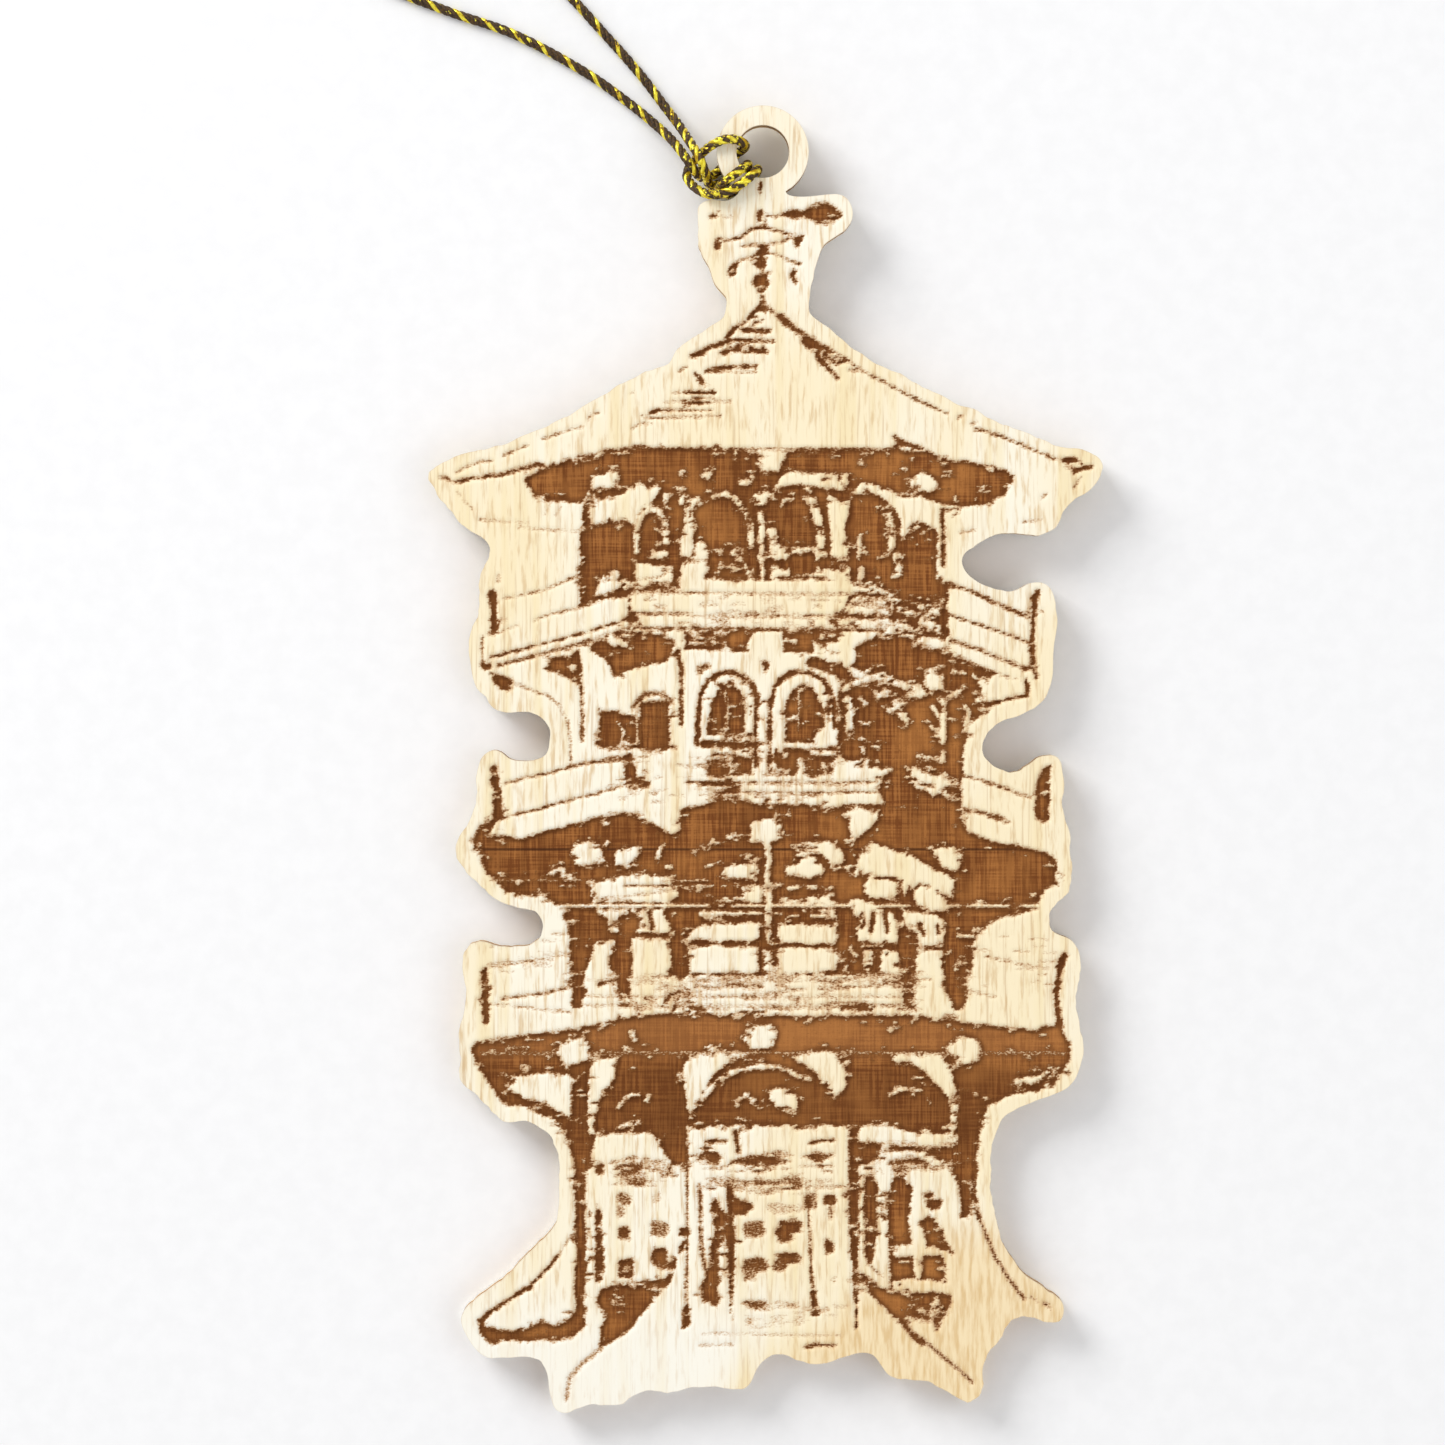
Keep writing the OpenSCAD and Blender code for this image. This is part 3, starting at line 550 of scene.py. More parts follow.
def draw_middle_balcony(pen):
    """Rails below the arches, sloping out to a post at each side."""
    pen.burn((-12.9, 0.2), (-12, 0.7), (-11.5, 0.4), (-11.2, -1.5), (-10.1, -1.8), (-10.1, -2.4),
             (-11.9, -2.5), (-12.2, -1.9), (-12.3, -0.3))
    pen.bare((-11.3, 0.5), (-9.5, 0.7), (-7, 0.9), (-6.1, 0.7), (-6, -0.6), (-7, -1.3), (-11.1, -1.5),
             (-11.2, 0))
    pen.score(0.24, (-22.7, -2), (-21, -1.5), (-19, -1.1), (-17, -0.5), (-15, -0.1), (-12.9, 0.1), tone=0.85)
    pen.score(0.2, (-22.5, -4.8), (-20, -4.3), (-17.5, -3.5), (-15, -2.9), (-12.3, -2.1), tone=0.8)
    pen.burn((-24.1, -0.6), (-23.6, -0.3), (-23.3, -1), (-23.2, -2.2), (-23, -3), (-23, -4.6), (-22.4, -5),
             (-23.9, -5.2), (-23.8, -3), (-24, -1.5))
    pen.bare((-5.2, -1.4), (10.2, -1.5), (9.8, -2.6), (10.4, -3.8), (-3.4, -3.8), (-5.2, -2.4))
    pen.score(0.14, (-7, -1.9), (0, -1.95), (9.6, -1.9), tone=0.8)
    pen.score(0.14, (-3.4, -2.75), (3, -2.8), (9.8, -2.7), tone=0.7)
    pen.score(0.3, (-5.6, -2), (-3, -2.1), (-2.3, -2.5), (-4.5, -2.9))
    pen.bare((5.8, -0.2), (6.4, 0.3), (7.6, 0), (8.3, 0.1), (7.6, -0.6), (8.6, -0.5), (10.5, -0.7),
             (10.5, -1.2), (9.5, -1.6), (5.8, -1.6))
    pen.bare((12.6, -0.6), (13.2, -0.2), (13.6, -0.6), (14.3, -0.5), (15.1, -1), (15.9, -1.2), (16, -2),
             (15.5, -2.2), (15.9, -3.3), (15.2, -2.8), (14.4, -3.1), (13.9, -2.5), (13, -2.4), (12.6, -1.7))
    pen.leave(0.22, (16.1, -2.1), (16.9, -2.2))
    pen.score(0.25, (17.2, -1.3), (19, -1.8), (21, -2.5), (23, -3.2), tone=0.85)
    pen.burn((23.4, -3.2), (23.7, -1.4), (24.2, -0.7), (24.8, -0.3), (24.7, -1.5), (24.7, -3.5),
             (24.6, -5.3), (23.5, -5.3), (23.5, -4.2))
    pen.score(0.45, (17, -4.2), (19, -4.6), (21, -5.3), tone=0.8)


def draw_middle_eave(pen):
    """Broad dark eave over the second storey, with lanterns and two small porches."""
    pen.burn((-25.2, -6), (-24.9, -5.6), (-23.5, -5.2), (-24, -6.3), (-22.5, -6.5), (-21.5, -6.9),
             (-20.5, -6.5), (-19, -6), (-17.5, -5.7), (-15, -5), (-12.4, -4.6), (-10.5, -5.1), (-8.6, -6),
             (-8, -6.3), (-7.6, -6.1), (-7.5, -4.2), (-6.8, -3.9), (-5.5, -3.9), (-3.5, -3.1), (-0.8, -3.7),
             (6.5, -4), (16.9, -4), (17.5, -6.2), (19, -6.8), (21, -7.3), (24.4, -7.9), (25.2, -8.5),
             (25.4, -9.3), (25.2, -10.2), (25.6, -10.8), (24.2, -11.2), (23.5, -13), (20.5, -13.6),
             (19.3, -14.2), (18, -15.9), (17.8, -19), (-17, -19), (-17.1, -15), (-17.8, -13), (-19.2, -11.8),
             (-22.6, -11.5), (-23.6, -10.4), (-24.4, -10), (-25, -8.4), (-25.5, -7.8), (-25.4, -6.6))
    pen.bare((16.8, -4.8), (18.5, -5), (20.5, -5.9), (19.7, -6.3), (18, -5.6), (16.6, -5))
    pen.bare((7.3, -4.1), (9.9, -4.3), (9.8, -5), (9, -5.9), (8.2, -6.6), (7.6, -6.7), (7.2, -6))
    pen.bare((-11.5, -4.6), (-9.2, -4), (-7.6, -3.9), (-7.6, -6), (-8.3, -6.4), (-9, -5.9), (-9.9, -5.2))
    # lanterns
    pen.bare((-16.9, -7.8), (-16.4, -6.9), (-15.6, -7.2), (-14.6, -7.3), (-14.2, -7.8), (-14, -8.6),
             (-14.5, -9.2), (-15.6, -9.3), (-16.5, -9.1), (-17, -8.6))
    pen.bare((-1.4, -5.9), (-1.1, -5.3), (-0.3, -5.1), (0.8, -5), (1.4, -5.2), (1.4, -6), (1.7, -6.3),
             (1.3, -6.8), (0.5, -7), (-0.4, -7.1), (-1.2, -6.8))
    pen.bare((14.5, -7.9), (15.2, -7.4), (16.3, -7.5), (17.1, -7.9), (17, -8.8), (16.6, -9.7), (15.6, -9.4),
             (15, -8.6))
    pen.leave(0.55, (0.1, -7), (0.2, -8.5), (0.1, -10), (0.2, -12), (0.2, -15.5))
    pen.bare((-13.2, -8), (-12.8, -7.5), (-10.8, -7.4), (-11, -8.2), (-12, -9.1), (-13.3, -9.2))
    pen.bare((-19.2, -9.7), (-18.4, -9.2), (-17.4, -9.4), (-17.7, -9.7), (-18.6, -10))
    pen.bare((-4, -10.1), (-3.7, -9.3), (-2.5, -9), (-0.7, -9), (-0.5, -9.8), (-1, -10.2), (-3.8, -10.2))
    pen.bare((-2.2, -11), (-0.3, -10.9), (-0.3, -12.3), (-4.5, -12.2), (-2, -11.8))
    pen.bare((2.2, -7.4), (4, -7), (5.4, -6.9), (6.3, -7.4), (6.8, -8.2), (6.6, -9.5), (5.9, -9.6),
             (5.3, -8.7), (4.5, -8), (3.6, -7.8))
    pen.bare((1.5, -9), (2.8, -9), (3.2, -8.5), (4.2, -8.5), (4.9, -8.9), (5.1, -9.6), (4.7, -10.1),
             (1.8, -10.1))
    pen.bare((0.8, -12.3), (3, -12.1), (4.5, -11.7), (5.9, -11.6), (6, -12.4), (4.5, -12.5))
    for width, *line in (
        (0.4, (-9.2, -7.7), (-9.5, -8.7)), (0.3, (-5.2, -7.6), (-4.6, -6.9)),
        (0.4, (-3.3, -6.7), (-2.3, -6.9)),
        (0.25, (-5.4, -9.3), (-4.7, -9)), (0.3, (-17.2, -10.1), (-16.7, -10.3)),
        (0.2, (-6, -10.9), (-4.7, -10.9)),
        (0.3, (6.9, -7), (7.6, -7)), (0.3, (2, -11.1), (4.2, -11)), (0.3, (0.5, -11), (1.3, -10.8)),
    ):
        pen.leave(width, *line)
    for x, y in ((-8.4, -9.2), (-6.3, -8), (-1.6, -8.4)):
        pen.gap(x, y, 0.28, 0.16)
    # porch roofs
    pen.bare((-15.3, -11.3), (-14.5, -10.5), (-13.5, -10.1), (-11.8, -9.7), (-10, -9.8), (-8.6, -10.1),
             (-8, -10.9), (-7.6, -11.7), (-8.3, -12.3), (-15, -12.3))
    pen.score(0.14, (-14.8, -12), (-12, -11.8), (-8, -11.2), tone=0.5)
    pen.score(0.14, (-12.3, -10.9), (-8, -10.9), tone=0.8)
    pen.bare((7.6, -10.2), (8, -8.5), (8.6, -7.5), (9.3, -7.1), (11, -7.8), (12.7, -8.2), (14.2, -9.2),
             (15.9, -10), (16.4, -10.3), (16.2, -12), (15.3, -11.5), (14, -10.9), (13.2, -10.7),
             (11.9, -12), (11.3, -10.2), (9, -9.9))
    pen.bare((8.5, -10.8), (9, -10.2), (11.2, -10.4), (11.4, -11), (11.3, -12.2), (9, -12), (8.6, -11.5))
    pen.score(0.3, (11.7, -10.5), (11.9, -12.4))
    pen.score(0.34, (12.4, -11), (12.5, -12.4))
    pen.bare((12.8, -11.4), (13.5, -10.8), (14.8, -11.3), (15.5, -12), (15.8, -13), (14.5, -13), (13, -12.6))
    # straight marks where the laser restarted a pass
    pen.leave(0.2, (-24, -10.42), (-15, -10.4), tone=0.42, ragged=0.4)
    pen.leave(0.2, (-9, -10.4), (-5, -10.4), tone=0.35, ragged=0.4)
    pen.leave(0.28, (-18, -12.65), (3, -12.6), (23.7, -12.65), tone=0.0, ragged=0.25)


def draw_second_storey(pen):
    """Wall, posts and rails between the middle and the lower eave."""
    pen.bare((-14.8, -12.9), (-8.9, -12.9), (-8.3, -15), (-14.8, -15))
    pen.burn((-15, -13.2), (-13.8, -13.6), (-13.5, -15.2), (-17, -15), tone=0.9)
    pen.burn((-12.8, -13.5), (-11.5, -13.2), (-11, -14), (-11.5, -15), (-12.8, -15))
    pen.score(0.4, (-10.2, -13.2), (-9.9, -14.6))
    pen.leave(0.4, (-5.7, -13.3), (-0.6, -13.3))
    pen.bare((-6, -14.4), (-5, -14.2), (-0.6, -14.1), (-0.6, -15.7), (-6.9, -15.7), (-6.5, -15))
    pen.bare((-15, -15.8), (-13.2, -15.6), (-13, -16.4), (-13.6, -17), (-13.7, -18), (-13.2, -18.7),
             (-15.8, -19.1), (-15.6, -18), (-15.2, -17))
    pen.bare((-11.7, -15.5), (-8.3, -15.5), (-8.2, -18.1), (-8.4, -18.8), (-11.7, -19))
    pen.bare((-6.8, -16.1), (-0.7, -16.2), (-0.6, -18.4), (-6.7, -18.6))
    pen.bare((-0.3, -16.6), (0.4, -16.7), (0.6, -18.3), (-0.2, -18.4))
    pen.bare((4, -12.9), (6.1, -13), (6.1, -13.8), (3.8, -13.7))
    pen.leave(0.2, (2, -13.5), (2.8, -13.5))
    pen.bare((1, -14.5), (2.5, -14.2), (6.1, -14.2), (6.3, -15.3), (5.9, -15.9), (1.2, -15.9))
    pen.bare((7.2, -12), (8.2, -11.9), (11.2, -13.4), (11.5, -16), (9.2, -15.9), (8, -15.6), (7.7, -14.6),
             (8.3, -13.6), (7.6, -13.4))
    for width, *line in (
        (0.35, (9.4, -13.2), (9.1, -14.9)), (0.35, (10.4, -13), (10.5, -14.9)),
        (0.3, (8.4, -13.3), (8.6, -14.3)),
    ):
        pen.score(width, *line)
    pen.bare((11.8, -12.9), (13, -13.2), (14.5, -13.4), (15.4, -13.9), (15.6, -15), (15.4, -16.2),
             (13.4, -16.1), (13.2, -15), (12.4, -14.7), (12, -14))
    pen.score(0.36, (13.3, -14.2), (13.7, -15))
    pen.score(0.28, (14.9, -14.3), (15, -15))
    pen.leave(0.18, (16.7, -15.25), (18.1, -15.3))
    pen.bare((1, -16.3), (6.2, -16.3), (6.3, -17), (6.1, -18.4), (1.2, -18.5))
    pen.leave(0.3, (7.3, -16.5), (7.9, -17))
    pen.leave(0.25, (7, -17.8), (6.8, -18.4))
    pen.bare((8.5, -16.6), (9.3, -16.4), (9.4, -17.5), (9, -18.3), (8.4, -18))
    pen.bare((10, -16.4), (11.6, -16.5), (11.7, -18.4), (9.9, -18.4))
    # rails, with the posts over them
    pen.bare((-15.9, -18.8), (15.6, -18.6), (16, -21.4), (12, -21.9), (-12, -21.6), (-16, -21.6))
    for y, tone in ((-19.1, 0.45), (-20.5, 0.5), (-21.3, 0.5)):
        pen.score(0.14, (-16, y), (0, y - 0.05), (11.8, y), tone=tone)
    pen.score(0.28, (-3.2, -19.5), (-0.4, -19.6))
    pen.score(0.28, (-14.6, -19.5), (-13.2, -19.2))
    pen.score(0.3, (-8.8, -20.9), (-8, -20.2), (-6.8, -20))
    pen.score(0.3, (-7.8, -20.8), (-8, -21.7))
    pen.burn((6.3, -21.2), (8, -21), (9.5, -21.3), (9.3, -21.8), (6.5, -21.8))
    pen.burn((-17.2, -15), (-15.7, -15), (-15.6, -17), (-15.9, -19), (-15.7, -20), (-16.2, -21.5),
             (-16.9, -21.6), (-16.8, -19), (-16.7, -17))
    pen.burn((-13, -15.4), (-11.9, -15.4), (-11.9, -18), (-12.1, -19), (-11.8, -19.8), (-11.9, -21.3),
             (-12.8, -21.4), (-12.9, -19), (-12.7, -18))
    pen.burn((12, -15), (12.9, -15.2), (12.9, -19), (13, -21.8), (12, -21.9), (11.9, -19), (11.7, -17))
    pen.bare((13.1, -16.3), (15.3, -16.5), (15.5, -19.5), (15, -20), (13.2, -19.6), (13, -18))
    pen.bare((13, -20.2), (16.2, -20.8), (16.4, -21.4), (13, -21))
    pen.burn((15.6, -15.5), (18, -15.6), (17.6, -16.5), (17.5, -18), (17.4, -19.5), (17.6, -20.3),
             (17.2, -21.7), (16.4, -21.8), (15.9, -20.2), (15.2, -19.7), (15.6, -19), (15.9, -17))
    pen.burn((-8.2, -15.4), (-7.1, -15.5), (-7, -18.6), (-7.3, -18.9), (-8, -18.6))
    for width, tone, *line in (
        (0.2, 0.7, (-24.2, -18), (-20, -17.4), (-16.9, -16.8)), (0.6, 1, (-24.5, -18.2), (-24.4, -22.5)),
        (0.28, 0.7, (-23, -20.7), (-19, -20.2), (-17, -19.7)), (0.12, 0.5, (-23.6, -21.2), (-17, -21.9)),
        (0.14, 0.55, (19.2, -17), (21, -17.5), (24.6, -18.1)), (0.14, 0.5, (17.7, -20), (20, -20.6)),
        (0.5, 1, (26, -17), (25.5, -18.4), (25.3, -20.6), (25.6, -23)),
        (0.12, 0.5, (-18.6, -15.1), (-17.3, -15.1)),
    ):
        pen.score(width, *line, tone=tone)


def draw_lower_eave(pen):
    """Lowest eave, and the dark wall behind the ground floor's arches."""
    pen.burn((-25.8, -25), (-24.9, -24.5), (-21, -23.9), (-16, -23.2), (-12.3, -22.4), (-8, -22), (-1, -22.2),
             (6, -22.2), (13, -22.1), (18.5, -22.9), (23, -23.4), (25.5, -23.1), (26.5, -24.6),
             (26.5, -26), (25.4, -27.6), (25, -28.3), (23.5, -28.8), (21.5, -29.1), (19.4, -30.1),
             (18.7, -32), (18.3, -35), (18.4, -36), (17, -34.8), (15.1, -34.9), (10.5, -31.6), (8, -31.9),
             (7, -31.8), (-7, -31.8), (-9.5, -33), (-10, -32.4), (-14.8, -32.5), (-15.7, -36), (-16.5, -36),
             (-16.7, -35), (-17.2, -33.5), (-18, -31.5), (-21, -30.1), (-23, -29.8), (-24.2, -28),
             (-25.2, -26.5))
    pen.leave(0.18, (12.2, -21.9), (17, -22.4), (20, -22.9), (24.5, -23.2))
    pen.bare((-22.7, -28.2), (-22, -27.5), (-21, -27.3), (-19, -27.1), (-17.3, -27.3), (-16.9, -27.7),
             (-17, -31.4), (-18, -30.6), (-19.2, -29.9), (-20.5, -29.5), (-21.7, -29.1))
    pen.leave(0.2, (-25, -25.5), (0, -25.45), (26, -25.5), tone=0.3, ragged=0.35)
    pen.bare((-18.1, -25.5), (-17.9, -24.8), (-17.2, -24.2), (-16.2, -24.1), (-15.5, -24.5), (-15.1, -25.2),
             (-15.6, -26), (-16.5, -26.4), (-17.4, -26.4), (-17.9, -26.1))
    pen.bare((-2, -23.9), (-1.5, -23.3), (-0.6, -23), (0.3, -23), (0.9, -23.4), (1, -24.2), (0.5, -25.1),
             (-0.5, -25.4), (-1.4, -25), (-1.9, -24.4))
    pen.bare((15.8, -24.9), (16.3, -24.2), (17.3, -24), (18.1, -24.1), (18.7, -24.8), (18.7, -25.5),
             (18.4, -26.2), (17.3, -26.4), (16.4, -25.9))
    pen.bare((21.3, -27.9), (22.2, -27.5), (23.5, -27.5), (24.5, -26.9), (24.8, -27.1), (24.1, -27.7),
             (23.2, -28.2), (22, -28.3))
    for x, y in ((-11.7, -23.5), (-11.4, -24.3), (11.1, -22.8), (10.8, -23.4), (18.3, -29.1), (-11.6, -26.7)):
        pen.gap(x, y, 0.25, 0.16, tone=0.2)


def draw_ground_arches(pen):
    """Three arches of the ground floor, and the ledge below them."""
    pen.bare((-15.5, -27.6), (-15.3, -26.7), (-14.6, -26), (-12.8, -25.8), (-13.2, -26.6), (-13.2, -27.6),
             (-14.2, -28.8), (-14.9, -31), (-14.9, -32.6), (-15.5, -32.6))
    pen.bare((-7.2, -27.5), (-7, -26.2), (-5.8, -25.5), (-1.5, -25.5), (-3.3, -26.4), (-4.7, -27.5),
             (-5.5, -28.7), (-6, -30), (-6.6, -30.9), (-6.9, -30))
    pen.bare((1.8, -25.6), (5.9, -25.3), (6.9, -27), (7.1, -28.3), (6.8, -28.8), (6, -29.3), (5.2, -28),
             (3.5, -26.6))
    pen.leave(0.45, (-5.8, -29.9), (-4.8, -28.5), (-3.6, -27.5), (-2, -26.8), (0, -26.6), (1.8, -26.9),
              (2.8, -27.5), (3.8, -27.7))
    pen.bare((10.8, -26), (11.5, -25.5), (15, -25.5), (16, -26.8), (16.7, -29.5), (16.7, -32), (16.2, -32.3),
             (15.9, -29.5), (15.1, -28.3), (13, -26.6))
    pen.bare((0.3, -28.7), (1.4, -28.5), (2.5, -28.8), (2.8, -29.5), (2.7, -30.5), (1, -30.5), (0.2, -29.3))
    pen.leave(0.24, (-12.9, -30.2), (-12.3, -29.4), (-11.6, -29.1), (-11, -29.1))
    pen.leave(0.35, (-12.9, -31.9), (-12.2, -31.7), (-11, -31.5))
    pen.leave(0.24, (10.7, -29.2), (11.3, -28.8), (12.3, -28.6), (13.5, -28.7))
    pen.leave(0.24, (14, -29.4), (14.3, -29.9))
    for x, y in ((-1.7, -29.1), (-1.1, -29.7), (-2.5, -30), (-10.4, -29.6)):
        pen.gap(x, y, 0.22, 0.2)
    pen.bare((8.2, -32.5), (9.2, -32.1), (10.5, -31.9), (13, -32.4), (16.8, -32.6), (16.7, -33.3),
             (15.8, -33.7), (9, -33.2))
    pen.burn((8, -33.2), (10.2, -33.3), (9.8, -34.3), (9, -35.2), (8, -35.3))
    pen.score(0.4, (11, -33.7), (14, -33.9), (16.4, -34))
    pen.burn((11.4, -34.8), (12.5, -34.5), (14.5, -34.9), (13.8, -35.4), (11.6, -35.2))
    pen.burn((-7.6, -31.8), (-7, -32), (-6.7, -35), (-7.2, -35.4), (-8.2, -35.2), (-9.5, -33))
    pen.score(0.28, (-5.2, -33.2), (-3.5, -33.1))
    pen.score(0.4, (-2.7, -32.3), (-2.4, -34))
    pen.score(0.3, (3.9, -33.3), (5.8, -33))
    pen.spot(-5, -34.5, 1.15, 0.5)
    pen.spot(-0.4, -34.85, 2, 0.5)
    pen.spot(4.6, -34.5, 0.9, 0.35)
    pen.spot(-11.6, -35.5, 1.3, 0.4)
    pen.spot(-14.5, -35.6, 0.4, 0.5)


def draw_ground_storey(pen):
    """Posts, panes and the three flights of steps at the foot."""
    pen.burn((-16.5, -35), (-15.8, -35), (-15.7, -38), (-15.7, -44), (-15.8, -47), (-15.7, -49),
             (-16.1, -49.7), (-16.9, -50), (-17, -48.7), (-16.6, -48), (-16.8, -45.3), (-16.5, -43.5),
             (-16.7, -40))
    pen.burn((7.2, -29), (8, -29), (8.1, -38), (8, -45), (8, -49.5), (7.8, -49.5), (7.6, -45), (7.2, -40))
    pen.burn((8.5, -36), (9.5, -36.2), (9.8, -37.5), (9.6, -39), (9.7, -41), (9.4, -43.3), (8.9, -44),
             (8.5, -43.3), (8.6, -41))
    pen.burn((16.9, -34), (16, -35.2), (16.3, -36.2), (16.8, -37.2), (17, -39.8), (17.8, -39.8), (17.8, -36),
             (18, -34.5))
    pen.score(0.36, (18.1, -35), (18.1, -38), (18.5, -39.8))
    pen.score(0.3, (18.5, -39.6), (19.2, -41.4), (20, -43.3), (21.2, -45.2), (22.5, -46.9), tone=0.85,
              ragged=0.5)
    pen.score(0.14, (23, -46.7), (23.6, -47.1), tone=0.7)
    pen.score(0.2, (24.3, -47.3), (24.9, -47.8))
    # wall and strip at the left foot
    pen.score(0.24, (-16.4, -40.8), (-17, -41.5), (-18.3, -43.3), tone=0.55)
    pen.score(0.24, (-18.3, -43.3), (-19, -44.2), (-20.5, -45.7), tone=0.9)
    pen.score(0.42, (-20.5, -45.8), (-22, -46.7), (-24, -48), (-24.7, -48.7), tone=0.95)
    pen.burn((-25.2, -48.6), (-24.2, -48.4), (-24.5, -49.4), (-22, -49.6), (-20.5, -49.3), (-19.7, -48.8),
             (-18.5, -49.2), (-17, -48.6), (-15.8, -48.6), (-16.2, -49.6), (-17, -50.3), (-21, -50.6),
             (-22.9, -50.5), (-23.7, -51), (-24.4, -50.6), (-24.8, -49.8), tone=0.9)
    pen.burn((-14.7, -38.5), (-14.4, -39.2), (-14.3, -41), (-14.1, -44), (-14.4, -45.5), (-14.8, -45.4),
             (-14.9, -43), (-15, -40))
    # window panes of the left bay
    for x, y, rx, ry, tone in ((-12.4, -38.2, 0.5, 0.45, 0.6), (-12.7, -39.2, 0.25, 0.4, 0.5),
                               (-12.4, -41.2, 0.5, 0.55, 0.85), (-12.2, -44.2, 0.6, 0.75, 0.95),
                               (-9.5, -38.2, 0.35, 0.5, 0.35), (-9.3, -40.8, 0.65, 0.55, 0.6),
                               (-9.3, -43.3, 0.6, 0.7, 0.85), (-8.8, -44, 0.5, 0.3, 0.7)):
        pen.pane(x, y, PANE * rx, PANE * ry, tone=tone)
    pen.score(0.2, (-6.9, -35), (-6.9, -39), (-6.9, -43), (-7, -47), tone=0.9)
    pen.spot(-7.2, -41.1, 0.4, 0.4)
    pen.score(0.5, (-7.2, -42), (-7.5, -42.8))
    pen.score(0.4, (-7.9, -43.4), (-8.3, -44.8), (-8.8, -45.6))
    pen.burn((-6.9, -47), (-6.6, -48), (-6.5, -49.3), (-7.3, -49.5), (-7.2, -48.2))
    # left flight of steps
    pen.burn((-14.4, -46), (-12.5, -45.6), (-10.3, -45.3), (-8.5, -45.3), (-9.4, -46.6), (-10.6, -48),
             (-12, -49.6), (-13.3, -50.6), (-14.5, -51.2), (-14.4, -49.4), (-13.9, -48.4), (-14.7, -47.3))
    for x, y in ((-13.2, -47.3), (-12.8, -48), (-14.1, -47.9), (-12.6, -46.9)):
        pen.gap(x, y, 0.24, 0.12, tone=0.35)
    pen.score(0.4, (-14.3, -51.2), (-15.2, -51.9), (-16.4, -52.9), (-17.2, -53.9), (-17.4, -55.7), tone=0.5)
    # left door post, broken into ragged pieces
    pen.score(0.3, (-5.8, -37), (-5.7, -39), (-5.7, -41), (-5.6, -43), (-5.3, -44.2), tone=0.8)
    pen.score(0.3, (-5.7, -37.2), (-4.9, -36.9), tone=0.4)
    pen.burn((-4.6, -38), (-4.2, -38.4), (-3.4, -39.8), (-3.6, -41.8), (-4.2, -42.6), (-4.1, -45),
             (-4.2, -47.8), (-4.8, -47.3), (-5.6, -47.2), (-5.7, -45.8), (-5.1, -44.4), (-4.8, -42.4),
             (-4.4, -41), (-4.8, -39), tone=0.9)
    for x, y in ((-4.4, -39.6), (-3.9, -40.7), (-4, -41.5), (-4.9, -45.7), (-4.7, -43.8)):
        pen.gap(x, y, 0.24, 0.16, tone=0.3)
    pen.burn((-3.4, -37), (-3, -37), (-2.8, -40), (-2.7, -42.6), (-3, -49), (-3.3, -45), (-3.4, -40))
    pen.score(0.42, (-3, -36.9), (-2, -36.75), (-1, -36.8), (1.5, -36.75), (2.9, -36.9), tone=0.75)
    pen.burn((-2.9, -38), (-1.7, -38.3), (-1, -38.9), (-1.8, -39.6), (-2.9, -39.7), tone=0.9)
    # middle panes
    for x, y, rx, ry, tone in ((-1, -40.8, 0.8, 0.6, 0.65), (-0.9, -43.9, 0.9, 0.6, 0.75),
                               (-1.4, -44.7, 0.5, 0.5, 0.6), (-0.8, -47.4, 0.9, 0.3, 0.7),
                               (2, -40.6, 0.9, 0.5, 0.9), (1.5, -41.4, 0.5, 0.5, 0.85),
                               (2, -43.4, 0.8, 0.4, 0.9), (1.3, -44, 0.6, 0.4, 0.7),
                               (2.1, -47.4, 0.7, 0.25, 0.5), (1.6, -39, 1.4, 0.4, 0.35),
                               (-1.4, -48.7, 0.3, 0.3, 0.4), (0.8, -48.7, 0.4, 0.25, 0.3),
                               (2.8, -48.8, 0.35, 0.3, 0.35), (3.9, -38.4, 0.5, 0.7, 0.6),
                               (5.5, -38.3, 0.5, 0.4, 0.85), (5.6, -39.3, 0.2, 0.5, 0.6),
                               (5.5, -42.3, 0.35, 0.5, 0.9), (5.9, -45.4, 0.15, 0.3, 0.5)):
        pen.pane(x, y, PANE * rx, PANE * ry, tone=tone)
    pen.score(0.22, (3.6, -37), (3.8, -41), (3.9, -44), (4.1, -46.4), tone=0.95)
    pen.burn((3.9, -46.2), (4.3, -46.4), (4.6, -48.3), (4, -48.4))
    pen.score(0.18, (4.3, -37.2), (5.5, -37), (7, -37.1), tone=0.6)
    pen.score(0.3, (-5.6, -49.9), (-4, -49.9), (6.6, -50.1), tone=0.3)
    pen.score(0.3, (-5.8, -50.9), (-3, -50.9), tone=0.35)
    pen.score(0.36, (3.4, -51.1), (4.6, -50.9), (6, -51), tone=0.75)
